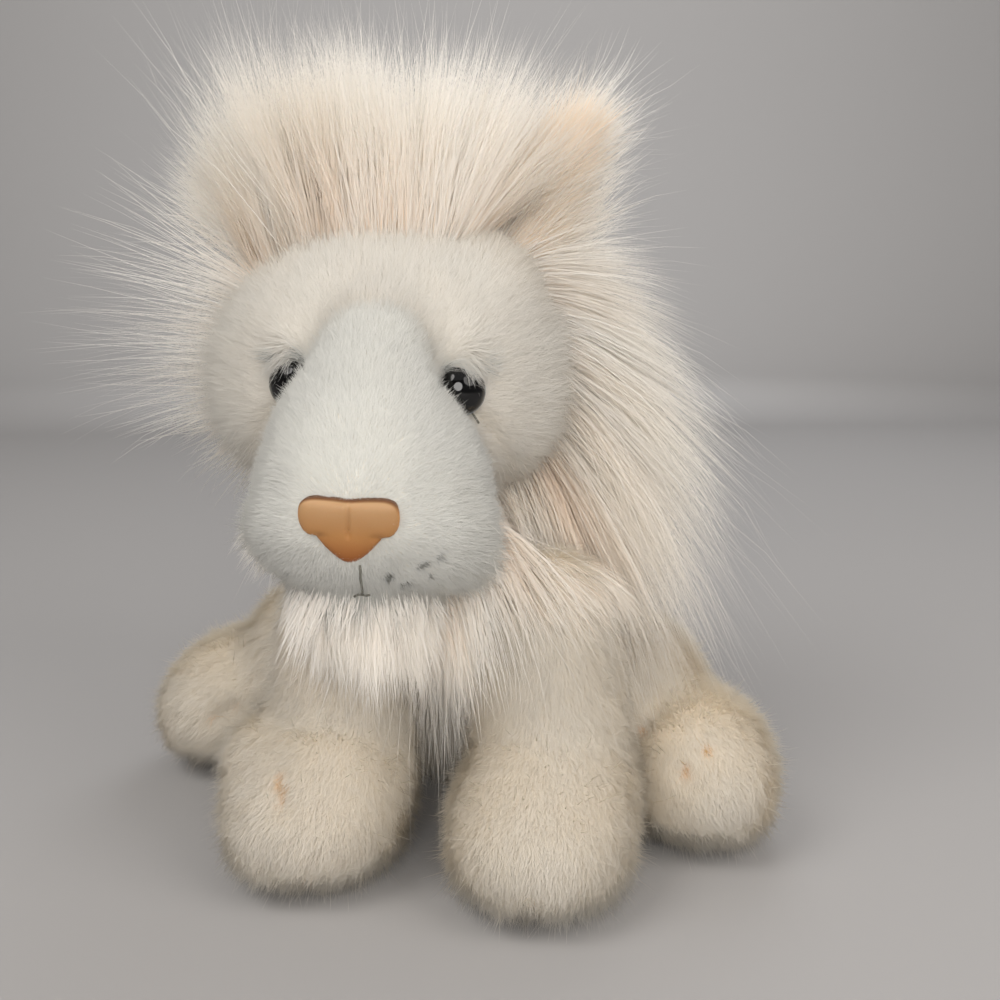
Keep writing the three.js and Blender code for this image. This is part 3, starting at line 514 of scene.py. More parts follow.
    # The flat of a fibre lies in that surface, turned a little at random, and narrows to the tip.
    turned = add(VECTOR, {0: whim, 1: (0.4, 0.4, 0.4), 2: facing}, operation="MULTIPLY_ADD")
    sideways = add(VECTOR, {0: last, 1: turned}, operation="CROSS_PRODUCT")
    sideways = add(VECTOR, {0: sideways}, operation="NORMALIZE")
    left_over = add(MATH, {0: 1.001, 1: along}, operation="SUBTRACT")
    thinning = add(MATH, {0: left_over, 1: given["Taper"]}, operation="POWER")
    half_width = add(MATH, {0: given["Width"], 1: 0.5}, operation="MULTIPLY")
    half_width = add(MATH, {0: half_width, 1: thinning}, operation="MULTIPLY")
    half_width = add(MATH, {0: half_width, 1: across}, operation="MULTIPLY")
    place = add(VECTOR, {0: sideways, 1: half_width, 2: place}, operation="MULTIPLY_ADD")

    # Nothing goes through the surface that the toy sits on.
    parts = add("ShaderNodeSeparateXYZ", {0: place})
    above = add(MATH, {0: chance, 1: 0.9 * MM}, operation="MULTIPLY")
    height = add(MATH, {0: parts.outputs["Z"], 1: above}, operation="MAXIMUM")
    height = add(MATH, {0: height, 1: given["Highest"]}, operation="MINIMUM")
    place = add("ShaderNodeCombineXYZ", {"X": parts.outputs["X"], "Y": parts.outputs["Y"], "Z": height})
    fibres = add("GeometryNodeSetPosition", {"Geometry": fibres, "Position": place})

    facing = add(VECTOR, {0: whim, 1: (0.13, 0.13, 0.13), 2: facing}, operation="MULTIPLY_ADD")
    facing = add(VECTOR, {0: facing}, operation="NORMALIZE")
    fibres = add(KEPT, {"Geometry": fibres, "Name": "facing", "Value": facing},
                 data_type="FLOAT_VECTOR", domain="POINT")

    # The map that the pile's material reads: the shade of the fibre, and the way along it.
    off_middle = add(MATH, {0: chance, 1: 0.5}, operation="SUBTRACT")
    shade = add(MATH, {0: off_middle, 1: given["Shade spread"], 2: shade}, operation="MULTIPLY_ADD")
    shade = add("ShaderNodeClamp", {"Value": shade, "Min": 0.01, "Max": 0.99})
    shade = add(MATH, {0: across, 1: 0.004, 2: shade}, operation="MULTIPLY_ADD")
    mapped = add("ShaderNodeCombineXYZ", {"X": shade, "Y": along})
    fibres = add(KEPT, {"Geometry": fibres, "Name": "OFBake", "Value": mapped}, data_type="FLOAT2", domain="CORNER")
    fibres = add("GeometryNodeSetMaterial", {"Geometry": fibres, "Material": given["Material"]})
    add("NodeGroupOutput", {"Pile": fibres})
    return tree


pile_tree = make_pile_tree()
fibres = {steps: fibre_pattern(steps) for steps in (1, 2, 4)}


def marked_cloth(thing, **marks):
    """A copy of a skin whose points carry what the pile needs: density, length, comb direction and shade."""
    cloth = linked(f"{thing.name}_marked", thing.data.copy())
    for name, values in marks.items():
        values = np.asarray(values, np.float32)
        if values.ndim == 2:
            cloth.data.attributes.new(name, "FLOAT_VECTOR", "POINT").data.foreach_set("vector", values.ravel())
        else:
            cloth.data.attributes.new(name, "FLOAT", "POINT").data.foreach_set("value", values)
    return cloth


def grown_pile(name, cloth, body, slot, steps, material, seed, **sizes):
    """Grows the pile or hair of one piece and returns it as a plain mesh."""
    values = {"Fibre": fibres[steps], "Seed": seed, "Material": material, "Taper": 0.8, "Lock size": 0.006,
              "Highest": 1.0, **sizes}
    grow = cloth.modifiers.new("grow", "NODES")
    grow.node_group = pile_tree
    for item in pile_tree.interface.items_tree:
        if item.in_out == "INPUT" and item.name in values:
            grow[item.identifier] = values[item.name]
    baked(cloth)
    mesh = cloth.data
    facing = np.empty(len(mesh.vertices) * 3, np.float32)
    mesh.attributes["facing"].data.foreach_get("vector", facing)
    mesh.shade_smooth()
    mesh.normals_split_custom_set_from_vertices(facing.reshape(-1, 3))
    for mark in [attribute.name for attribute in mesh.attributes if attribute.name in PILE_MARKS]:
        mesh.attributes.remove(mesh.attributes[mark])
    mesh.name = cloth.name = name
    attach(cloth, body)
    return cloth


def open_share(thing, others):
    """1 where a skin's point lies outside all the other skins, 0 where one covers it."""
    points, share = points_of(thing.data), np.ones(len(thing.data.vertices))
    for other in others:
        low, high = points_of(other.data).min(0) - 2 * MM, points_of(other.data).max(0) + 2 * MM
        inside_box = np.all((points > low) & (points < high), axis=1)
        if not inside_box.any():
            continue
        tree = search_tree(other.data)
        for i in np.nonzero(inside_box)[0]:
            near, normal, _, _ = tree.find_nearest(Vector(points[i]))
            if (Vector(points[i]) - near).dot(normal) < -1.5 * MM:
                share[i] = 0.0
    return share


def tangential(directions, normals):
    directions = np.asarray(directions, float)
    return unit(directions - normals * (directions * normals).sum(1, keepdims=True))


# Head: its skin is pressed in at the eyes and along the muzzle seam, and padded at the brows and cheeks
def pushed(skin, points, marks):
    """Moves a skin along its normals. Each mark is (centre, radius, height), in the same frame as points, in mm."""
    height = sum(amount * bump_at(points, centre, radius) for centre, radius, amount in marks)
    move_points(skin.data, points_of(skin.data) + normals_of(skin.data) * height[:, None] * MM)


def near_line(points, line, width):
    """1 on a line of points, falling to 0 a little outside its width."""
    points, nearest = np.asarray(points), np.full(len(points), 1e9)
    for a, b in zip(line[:-1], line[1:]):
        a, b = np.asarray(a), np.asarray(b)
        share = np.clip(((points - a) @ (b - a)) / ((b - a) @ (b - a)), 0, 1)
        nearest = np.minimum(nearest, np.linalg.norm(points - (a + share[:, None] * (b - a)), axis=1))
    return np.exp(-(nearest / width) ** 2)


def axis_of(node, washer):
    """The way that a moulded eye or nose looks out: from its washer to its face."""
    return unit(points_of(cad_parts[node].data).mean(0) - points_of(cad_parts[washer].data).mean(0))


eye_axes = {side: axis_of(f"eye_{side}", f"eye_washer_{side}") for side in ("left", "right")}
eye_tops = {}
for side, axis in eye_axes.items():
    places = points_of(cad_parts[f"eye_{side}"].data)
    reach = places @ axis
    eye_tops[side] = places[reach > reach.max() - 0.2 * MM].mean(0)
eye_places = {side: in_head(top) for side, top in eye_tops.items()}

head = skins["head_plush"]
PANEL_RISE, SEAM_DEPTH, SEAM_WIDTH = 0.9, 1.9, 2.4
seam_in_picture = [(370, 306), (396, 311), (416, 326), (429, 348), (437, 370), (443, 388), (454, 401), (466, 409),
                   (477, 420), (488, 436), (498, 456), (506, 480), (511, 506), (511, 532)]
muzzle_seam = [in_head(met_by_sight(head, *place)) for place in seam_in_picture]
muzzle_seam_right = [point * (-1, 1, 1) for point in muzzle_seam]
local = in_head(points_of(head.data))
eye_dips = [(place + (0, 5, -1), 8.5, -1.0) for place in eye_places.values()]
brows = [(place + (0, 3, 11), 7.5, 3.2) for place in eye_places.values()]
inner_corners = [(eye_places[side] + (hand * -7, 1, -5), 6.0, -3.2) for side, hand in (("left", 1), ("right", -1))]
cheeks = [((hand * 46, -26, -22), 17.0, 3.0) for hand in (1, -1)]
muzzle_lobes = [((hand * 24, -88, -44), 15.0, 2.4) for hand in (1, -1)] + [((33, -76, -48), 14.0, 3.4)]
muzzle_sides = [((-36, -72, -34), 15.0, -4.5), ((-36, -72, -60), 14.0, -6.0), ((36, -72, -64), 12.0, -3.5)]
bridge_sides = [*[((hand * 19, -50, 2), 9.0, -2.8) for hand in (1, -1)], ((30, -66, -20), 12.0, 1.6),
                ((-29, -66, -18), 12.0, -2.0)]
under_chin, left_temple = ((0, -66, -72), 22.0, -3.0), ((35, -18, 34), 15.0, 5.0)
pushed(head, local, [*eye_dips, *brows, *inner_corners, *cheeks, *muzzle_lobes, *muzzle_sides, *bridge_sides,
                     under_chin, left_temple])
local = in_head(points_of(head.data))
groove = np.maximum(near_line(local, muzzle_seam, SEAM_WIDTH), near_line(local, muzzle_seam_right, SEAM_WIDTH))
groove = groove * (0.30 + 0.70 * smooth_step(12, 0, local[:, 2]))
seam_up, seam_out = np.array(sorted((point[2], point[0]) for point in muzzle_seam)).T
panel = smooth_step(3, -5, np.abs(local[:, 0]) - np.interp(local[:, 2], seam_up, seam_out, right=0)) * (
    smooth_step(-40, -46, local[:, 1]) * smooth_step(seam_up.max() + 1, seam_up.max() - 4, local[:, 2]))
height = PANEL_RISE * panel - SEAM_DEPTH * groove
move_points(head.data, points_of(head.data) + normals_of(head.data) * height[:, None] * MM)

# Toes: stitches pull the skin in, and the pile in these pits is painted amber as their shade. The instep of the right
# front leg has a stitched crease, painted amber as shade too, and each front leg is full round its ankle.
PIT_RADIUS, PIT_DEPTH, ANKLE_RADIUS, ANKLE_SWELL, CREASE_WIDTH, CREASE_DEPTH = 3.5, 1.3, 12.0, 3.2, 3.0, 2.0
toe_pits = {"front_leg_left_plush": [(533, 900)], "front_leg_right_plush": [(310, 873)],
            "hind_leg_right_plush": [(240, 704), (232, 708), (224, 712), (217, 717)],
            "hind_leg_left_plush": [(706, 747), (683, 768), (642, 727)]}
pits = {name: [met_by_sight(skins[name], *place) for place in places] for name, places in toe_pits.items()}
creased_leg = skins["front_leg_right_plush"]
instep = [met_by_sight(creased_leg, *place) for place in ((289, 758), (286, 772), (285, 804))]
for name, places in pits.items():
    pushed(skins[name], points_of(skins[name].data), [(place, PIT_RADIUS * MM, -PIT_DEPTH) for place in places])
ankles = {"front_leg_left_plush": [(490, 762), (537, 764), (590, 764), (628, 770), (640, 726)],
          "front_leg_right_plush": [(258, 752), (306, 752), (356, 756), (400, 768), (250, 722), (244, 742),
                                    (420, 730)]}
ankles = {name: [met_by_sight(skins[name], *place) for place in places] for name, places in ankles.items()}
for name, places in ankles.items():
    pushed(skins[name], points_of(skins[name].data), [(place, ANKLE_RADIUS * MM, ANKLE_SWELL) for place in places])
places = points_of(creased_leg.data)
crease = near_line(places, instep, CREASE_WIDTH * MM)
move_points(creased_leg.data, places - normals_of(creased_leg.data) * crease[:, None] * CREASE_DEPTH * MM)
for thing in skins.values():
    places = points_of(thing.data)
    places[:, 2] = np.maximum(places[:, 2], GROUND_ROOM)
    move_points(thing.data, places)

open_of = {name: open_share(thing, [other for key, other in skins.items() if key != name])
           for name, thing in skins.items()}

# Short pile
SHORT = {"Width": 0.31 * MM, "Rise at root": 0.9, "Rise at tip": 0.6, "Tangle": 0.42, "Unevenness": 0.5,
         "Lock size": 2.8 * MM, "Lock pull": 0.25, "Lock wander": 0.25, "Droop": 0.0, "Wave": 0.0,
         "Stray length": 0.35, "Shade spread": 0.05}


def steady_noise(points, scale, seed=0):
    """A soft pattern of patches about scale wide, the same on every run: between 0 and 1."""
    rng = np.random.RandomState(seed)
    total = np.zeros(len(points))
    for _ in range(7):
        way = unit(rng.normal(size=3)) * (2 * math.pi / scale) * rng.uniform(0.6, 1.5)
        total += np.sin(np.asarray(points) @ way + rng.uniform(0, 6.28))
    return np.clip(0.5 + total / 7, 0, 1)


normals = normals_of(head.data)
local = in_head(points_of(head.data))
x, y, z = local.T
local_normals = normals @ HEAD_TURN
nose_tip = np.array([0, -100, -32.0])


def behind_hairline(local_points):
    """1 behind the seam where the mane starts, 0 on the face. The seam comes forwards over the forehead."""
    across, back, up = local_points.T
    before_ear = np.exp(-((across - 38) / 12) ** 2) * smooth_step(8, 22, up)
    seam = -13 - 13 * smooth_step(12, 44, up) * smooth_step(54, 40, np.abs(across)) * (1 - before_ear) + 6 * before_ear
    return smooth_step(-2.5, 2.5, back - seam)


# The face's pile, its length in mm and its way: longer at the cheeks, jaw, jowls and chin, shorter round the eyes and
# nose and in the muzzle's seam. It is combed away from the nose and the eyes, and hangs over each eye and at the chin.
behind = behind_hairline(local)
eye_near = sum(bump_at(local, place, 9.5) for place in eye_places.values())
muzzle_share = np.maximum(smooth_step(-46, -62, y), panel)
chin_share = smooth_step(-58, -66, z)
jaw = smooth_step(22, 36, np.abs(x)) * smooth_step(-40, -52, z)
pile = 7.5 - 3.2 * muzzle_share + 6.5 * smooth_step(38, 52, np.abs(x)) * smooth_step(26, 4, z) + 3.5 * jaw
jowl = smooth_step(20, 34, np.abs(x)) * smooth_step(-26, -44, z) * smooth_step(-30, -48, y)
pile = pile + jowl * (1.5 + 5.0 * steady_noise(local, 7, 6))
pile = pile * (1 - 0.65 * np.clip(eye_near, 0, 1)) * (1 - 0.6 * groove)
tuft = smooth_step(-52, -59, z) * smooth_step(26, 17, np.abs(x - 1)) * smooth_step(-46, -56, y)
pile = pile + chin_share * 2.0 + tuft * (6 + 6 * steady_noise(local, 9, 3))
nose_near = bump_at(local * (1, 0.4, 1.25), np.array([0, -40, -42.5]), 15.0)
pile = pile * (1 - 0.5 * np.clip(nose_near, 0, 1))
comb = tangential(local - nose_tip, local_normals)
for place in eye_places.values():
    away = tangential(local - place, local_normals)
    comb = unit(comb + away * (bump_at(local, place, 10.0) * 1.1)[:, None])
hang = tangential(np.tile((0.0, -0.15, -1.0), (len(local), 1)), local_normals)
lid = np.clip(sum(bump_at(local, place + (0, 2, 9.5), 6.0) for place in eye_places.values()), 0, 1)
hanging = np.maximum(tuft, lid)[:, None]
comb = unit(comb * (1 - hanging) + hang * hanging)
pile = pile + 5.4 * lid
shade = SHADES["white"] - (SHADES["white"] - SHADES["cool"]) * muzzle_share
shade = shade + 0.10 * smooth_step(-34, -20, y) * smooth_step(10, 40, z) + 0.04 * (steady_noise(local, 30) - 0.5)
# Painted shade: the pile in the muzzle's seam groove is turned a deeper, warmer cream.
shade = shade + 0.14 * groove

# Printed and stitched marks: whisker dots and the lashes over each eye. The dark grey line of pile in the dimple at the
# inner corner of one eye is painted shade.
DOT_RADIUS, DIMPLE_WIDTH, LASH_RING, LASH_WIDTH, LASH_HEIGHT = 1.3, 1.4, 9.2, 3.0, 5.0
whisker_dots_in_picture = [(388, 573), (402, 582), (415, 567), (424, 562), (430, 573), (436, 554), (290, 569),
                           (314, 582)]
for place in whisker_dots_in_picture:
    dot = in_head(met_by_sight(head, *place))
    shade = np.where(bump_at(local, dot, DOT_RADIUS) > 0.45, SHADES["grey"], shade)
    pile = pile * (1 - 0.3 * bump_at(local, dot, 3.0))
dimple = [in_head(met_by_sight(head, *place)) for place in ((440, 377), (437, 392))]
# Painted shade: dark grey pile along the dimple at the inner corner of one eye.
shade = np.where(near_line(local, dimple, DIMPLE_WIDTH) > 0.5, SHADES["grey"] + 0.09, shade)
for side, place in eye_places.items():
    off_eye = local - place
    looking = eye_axes[side] @ HEAD_TURN
    off_axis = np.linalg.norm(off_eye - (off_eye @ looking)[:, None] * looking, axis=1)
    in_ring = (np.abs(off_axis - LASH_RING) < LASH_WIDTH / 2) * (off_eye[:, 2] > LASH_HEIGHT)
    lashes = in_ring * (steady_noise(local, 2.2, 9) > 0.45)
    shade = np.where(lashes, SHADES["grey"] + 0.06, shade)
face_cloth = marked_cloth(head, density=(1 - behind) * open_of["head_plush"], pile=pile * MM,
                          comb=from_head(comb), shade=shade)
grown_pile("head_pile", face_cloth, BODY, "white_plush", 1, short_pile, 11,
           **{**SHORT, "Fibres per square metre": 8.6e6, "Width": 0.27 * MM, "Tangle": 0.38, "Lock pull": 0.12})


def body_pile(name, density, longest, heading, shade_base, seed, steps=1, body=BODY, slot="cream_plush", **changes):
    """The short pile of one stuffed form, combed along heading, which is one direction or one for each point. It thins
    out under a form that rests on the ground, is whiter and more ragged near it, and is painted amber as shade in the
    toe pits and along the instep crease."""
    skin = skins[f"{name}_plush"]
    normals, places = normals_of(skin.data), points_of(skin.data)
    under = smooth_step(3 * MM, 1 * MM, places[:, 2]) * smooth_step(-0.8, -0.98, normals[:, 2])
    near_pit = 0.75 * near_line(places, instep[1:], 2.4 * MM)
    for pit in pits.get(f"{name}_plush", []):
        near_pit = np.maximum(near_pit, bump_at(places, pit, 2.6 * MM))
    rim = smooth_step(17 * MM, 8 * MM, places[:, 2])
    shade = shade_base + 0.10 * (steady_noise(places / MM, 34, seed) - 0.5) - 0.20 * rim
    # Painted shade: amber pile in the toe pits and along the instep crease.
    shade = np.where(near_pit > 0.55, SHADES["amber"], shade)
    comb = tangential(np.broadcast_to(heading, places.shape), normals)
    ragged = steady_noise(places / MM, 4.5, seed + 30)
    long = longest * (1 - 0.3 * near_pit) * (1 - 0.5 * under) * (0.85 + 0.3 * ragged + rim * (0.1 + 0.45 * ragged))
    cloth = marked_cloth(skin, density=open_of[f"{name}_plush"] * (1 - 0.8 * under), pile=long * MM, comb=comb,
                         shade=shade)
    grown_pile(f"{name}_pile", cloth, body, slot, steps, short_pile, seed,
               **{**SHORT, "Fibres per square metre": density, **changes})


for seed, side, hand in ((21, "left", 1), (22, "right", -1)):
    places = points_of(skins[f"front_leg_{side}_plush"].data)
    forward = np.stack([np.full(len(places), 0.12 * hand), -smooth_step(0.075, 0.03, places[:, 2]) * 0.9,
                        -0.2 - 0.8 * smooth_step(0.004, 0.024, places[:, 2])], 1)
    body_pile(f"front_leg_{side}", 7.6e6, 7.2, forward, SHADES["cream"] - 0.05, seed)
    places = points_of(skins[f"hind_leg_{side}_plush"].data)
    forward = np.stack([np.full(len(places), 0.45 * hand), np.full(len(places), -0.8),
                        np.full(len(places), -0.55)], 1)
    body_pile(f"hind_leg_{side}", 6.6e6, 7.0, forward, SHADES["cream"] - 0.03, seed + 2)
body_pile("torso", 3.4e6, 7.5, (0, 0.25, -1.0), SHADES["cream"], 25)
# The tail's pile is short at its root, so that it stays clear of the rump while the tail swings.
off_root = smooth_step(56 * MM, 74 * MM, points_of(skins["tail_plush"].data)[:, 1])
body_pile("tail", 6.4e6, 2.5 + 4.5 * off_root, (0, 1.0, 0.1), SHADES["cream"] + 0.08, 26, body=TAIL)
up_the_ear = in_head(points_of(skins["ear_left_plush"].data))[:, 2]
body_pile("ear_left", 7.5e6, 9.0 + 13 * smooth_step(46, 72, up_the_ear), from_head((0.72, 0.1, 1.0)),
          SHADES["peach"], 27, slot="mane_hair", **{"Width": 0.30 * MM, "Tangle": 0.3, "Shade spread": 0.10})

# Mane, bib and tuft: long hair that roots in the skins of the head and the body
HIGHEST_HAIR = 0.2695
LONG = {"Width": 0.42 * MM, "Taper": 0.75, "Rise at root": 0.55, "Rise at tip": 0.0, "Tangle": 0.13, "Droop": 0.12,
        "Unevenness": 0.4, "Lock size": 7 * MM, "Lock pull": 0.55, "Lock wander": 0.16, "Wave": 0.10,
        "Shade spread": 0.30, "Stray length": 0.22, "Mass share": 0.75, "Highest": HIGHEST_HAIR}

# The skins that carry the mane are one cloth here. The zones are shares between 0 and 1 for each of its points.
backing = bmesh.new()
BACKING_SKINS = ("head_plush", "torso_plush", "front_leg_left_plush", "front_leg_right_plush", "ear_left_plush",
                 "ear_right_plush")
for name in BACKING_SKINS:
    backing.from_mesh(skins[name].data)
backing_mesh = bpy.data.meshes.new("mane_backing")
backing.to_mesh(backing_mesh)
backing.free()
mane_backing = linked("mane_backing", backing_mesh)
places, normals = points_of(backing_mesh), normals_of(backing_mesh)
of_skin = np.repeat(range(len(BACKING_SKINS)), [len(skins[name].data.vertices) for name in BACKING_SKINS])
on_head, on_body = of_skin == 0, (of_skin >= 1) & (of_skin <= 3)
on_leg, on_ear = (of_skin == 2) | (of_skin == 3), of_skin >= 4
showing = np.concatenate([open_of[name] for name in BACKING_SKINS])
local, local_normals = in_head(places), normals @ HEAD_TURN
x, y, z = local.T
around = np.degrees(np.arctan2(np.abs(x), z))
left_half, right_half = smooth_step(-1, 1, x), smooth_step(1, -1, x)
behind = behind_hairline(local) * on_head
crown_edge = np.where(x < 0, 56, 43)
crown_zone = behind * smooth_step(3, -3, around - crown_edge) * smooth_step(36, 26, y)
side_zone = behind * smooth_step(-3, 3, around - crown_edge) * smooth_step(38, 28, y)
back_zone = on_head * smooth_step(26, 36, y)

# Below the head the zones go by the way round the neck, which azimuth gives in degrees from the front, and by height.
height = places[:, 2] / MM
neck = np.array([-10.0, -50.0]) * MM
spoke = unit(places[:, :2] - neck)
azimuth = np.degrees(np.arctan2(spoke[:, 0], -spoke[:, 1]))
in_front = smooth_step(60, 40, np.abs(azimuth))
collar = on_body * np.where(on_leg, smooth_step(88, 102, height), smooth_step(74 + 9 * in_front, 96, height))
throat = on_head * smooth_step(-34, -43, z) * smooth_step(-58, -48, y) * smooth_step(-2, -12, y) * smooth_step(
    37, 28, np.abs(x - 26))
bib_zone = throat + collar * smooth_step(2, 12, azimuth) * smooth_step(56, 46, azimuth)
left_collar = collar * smooth_step(30, 50, azimuth) * smooth_step(136, 124, azimuth)
right_collar = collar * (~on_leg) * smooth_step(-84, -96, azimuth) * smooth_step(-136, -124, azimuth)
ear_zone = on_ear * np.where(x > 0, 0.25 + 0.75 * smooth_step(-0.3, 0.3, local_normals[:, 1]), 0.7)
back_collar = collar * smooth_step(122, 134, np.abs(azimuth))
draped = np.concatenate([spoke * 0.5, np.full((len(x), 1), -1.0)], 1)
shoulder = (on_body * smooth_step(20, 50, azimuth) * smooth_step(136, 110, azimuth))[:, None]
draped = draped + shoulder * np.array([0.62, 0.0, 0.0])
flat = (0.25 + 0.30 * on_leg)[:, None] * normals * on_body[:, None]
draped = unit(tangential(draped, normals) + 0.15 * draped - flat) @ HEAD_TURN


def turned_from_up(angle, hand, back):
    """Directions that lean from upright towards one side, by an angle in degrees, and backwards by a share."""
    angle = np.radians(angle)
    return unit(np.stack([hand * np.sin(angle), np.broadcast_to(back, angle.shape), np.cos(angle)], 1))


def hair(name, zone, heading, length, shade, count, seed, steps=4, **changes):
    """One piece of the mane. count is how many hairs it has, spread over its zone."""
    zone = zone * np.maximum(showing, throat)
    cloth = marked_cloth(mane_backing, density=zone, pile=length * MM, comb=from_head(heading), shade=shade)
    cloth.data.calc_loop_triangles()
    corners = np.empty(len(cloth.data.loop_triangles) * 3, np.int64)
    cloth.data.loop_triangles.foreach_get("vertices", corners)
    corners = corners.reshape(-1, 3)
    sizes = np.linalg.norm(np.cross(places[corners[:, 1]] - places[corners[:, 0]],
                                    places[corners[:, 2]] - places[corners[:, 0]]), axis=1) / 2
    covered = (sizes * zone[corners].mean(1)).sum()
    return grown_pile(name, cloth, BODY, "mane_hair", steps, long_pile, seed,
                      **{**LONG, "Fibres per square metre": count / covered, "Mass centre": tuple(at_head((0, 0, -5))),
                         **changes})


# Where the hair of each zone heads, in the head's frame, and how long it is in mm. Tables go by around, the angle from
# the top of the head in degrees.
patchy = steady_noise(local, 22, 5)
tousled = steady_noise(local, 11, 12)
before_ear = 0.5 * bump_at(local, (36, -14, 39), 13.0)
beyond = smooth_step(-5, 34, y)
crown_lean = np.degrees(np.arctan2(x, z)) * 0.22 + 34 * smooth_step(0, 40, x) + 22 * (tousled - 0.5)
crown_heading = turned_from_up(crown_lean, 1, -0.10 + 0.85 * smooth_step(-12, 34, y))
left_angle = along_table([42, 50, 60, 90, 125, 180], [50, 82, 118, 146, 158, 170], around)
left_heading = turned_from_up(left_angle, 1, along_table([42, 70, 95, 130], [0.25, 0.10, -0.55, -0.9], around)
                              + 0.8 * beyond)
right_angle = along_table([42, 70, 100, 130, 180], [46, 76, 104, 140, 165], around)
right_heading = turned_from_up(right_angle, -1, 0.12 + 0.65 * beyond + 0.8 * smooth_step(96, 120, around))
right_heading = np.where(on_head[:, None], right_heading, draped)
nape_fall = smooth_step(30, 47, y)
nape_heading = unit(np.stack([x / 90, 0.75 + 0 * x, 0.55 - 1.45 * nape_fall - 0.2 * smooth_step(0, 40, -z)], 1))
nape_heading = np.where(on_head[:, None], nape_heading, draped)
bib_heading = unit(np.stack([(x - 4) / 80 + 0.8 * smooth_step(26, 50, x), -0.32 - 0.35 * smooth_step(10, 34, x),
                             np.full(len(x), -1.0)], 1))
bib_heading = np.where(on_head[:, None], bib_heading, draped)

left_zone = side_zone * left_half
right_zone = side_zone * right_half * (0.30 + 0.70 * smooth_step(6, 30, y))
right_zone = right_zone + right_collar
nape_zone = back_zone + back_collar
crown_length = (41 + 5 * patchy + 11 * steady_noise(local, 8, 14) + 13 * bump_at(x[:, None], (-27,), 14.0)
                + 11 * bump_at(x[:, None], (23,), 11.0)) * (1 - 0.5 * before_ear)
left_length = along_table([42, 60, 90, 110, 135], [46, 60, 84, 92, 92], around) * (1 - 0.5 * before_ear)
right_length = np.where(on_head, along_table([42, 70, 95, 110, 130], [54, 59, 53, 38, 28], around), 34.0)
bib_length = np.where(on_head, 28 + 15 * smooth_step(6, 22, x) + 10 * smooth_step(28, 48, x), 16)
bib_length = bib_length * (0.75 + 0.5 * steady_noise(local, 7, 15))
mane = {
    "mane_crown": hair("mane_crown_hair", crown_zone, crown_heading, crown_length, 0.5 + 0.35 * patchy, 27000, 41,
                       **{"Lock pull": 0.2, "Lock wander": 0.14, "Tangle": 0.17, "Unevenness": 0.5, "Width": 0.34 * MM,
                          "Wave": 0.24, "Stray length": 0.28}),
    "mane_left": hair("mane_left_hair", left_zone, left_heading, left_length,
                      0.6 + 0.35 * patchy - 0.2 * smooth_step(85, 120, around), 25000, 42,
                      **{"Rise at root": 0.7, "Droop": 0.3, "Width": 0.36 * MM, "Lock pull": 0.24, "Lock wander": 0.10,
                         "Unevenness": 0.6, "Wave": 0.2, "Mass centre": tuple(at_head((-6, 44, -24))),
                         "Mass share": 0.85}),
    "mane_right": hair("mane_right_hair", right_zone, right_heading, right_length, 0.65 + 0.35 * patchy, 6000, 43,
                       **{"Unevenness": 0.75, "Stray length": 0.0, "Lock pull": 0.95, "Lock size": 9 * MM,
                          "Tangle": 0.15, "Width": 0.34 * MM}),
    "mane_nape": hair("mane_nape_hair", nape_zone, nape_heading, 64 + 0 * x, 0.5 + 0.3 * patchy, 14000, 44,
                      **{"Droop": 0.35}),
    "chest_bib": hair("chest_bib_hair", bib_zone, bib_heading, bib_length,
                      0.4 + 0.4 * patchy + 0.5 * on_head * smooth_step(14, 2, x), 14000, 45,
                      **{"Mass centre": (0.0, -0.02, 0.08), "Lock pull": 0.9, "Droop": 0.3, "Unevenness": 0.6,
                         "Tangle": 0.18}),
}
for node, piece in mane.items():
    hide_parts(node)

# Hair on the ears, and hair that falls from the neck over the shoulder at the lion's left
ear_heading = unit(np.stack([np.where(x > 0, 0.75, -1.0), 0.2 + 0 * x, 1 + 0 * x], 1))
hair("ear_hair", ear_zone, ear_heading, np.where(x > 0, 32, 30) + 6 * patchy, 0.6 + 0.3 * patchy, 12000, 48,
     **{"Rise at root": 0.4, "Lock pull": 0.3, "Tangle": 0.3, "Width": 0.34 * MM, "Wave": 0.25})

shoulder_length = np.where(on_leg, 20 + 20 * smooth_step(50, 75, azimuth), 46) * smooth_step(60, 94, height)
hair("shoulder_hair", left_collar, draped, shoulder_length, 0.5 + 0.3 * patchy, 9000, 49,
     **{"Rise at root": 0.55, "Droop": 0.8, "Lock size": 9 * MM, "Width": 0.36 * MM})

# White fringes hang from the chin, the jowls and the lower edges of the cheeks.
chin_zone = smooth_step(-52, -58, z) * smooth_step(22, 13, np.abs(x - 1)) * smooth_step(-50, -58, y)
folded = np.stack([np.abs(x), y, z], 1)
edge_zone = bump_at(folded, (45, -34, -29), 8.0) + bump_at(folded, (37, -58, -50), 8.0)
fringe_heading = unit(np.stack([x / 50, np.full(len(x), -0.2), np.full(len(x), -1.0)], 1))
hair("face_fringe_hair", on_head * np.clip(chin_zone + 0.6 * edge_zone, 0, 1), fringe_heading,
     9 + (4 + 16 * chin_zone) * steady_noise(local, 8, 16) + 2 * chin_zone, 0.75 + 0 * x, 6000, 50, steps=2,
     **{"Rise at root": 0.8, "Droop": 0.4, "Lock size": 6 * MM, "Lock pull": 0.7, "Tangle": 0.2, "Width": 0.32 * MM,
        "Mass centre": tuple(at_head((0, -30, -30))), "Mass share": 0.95})

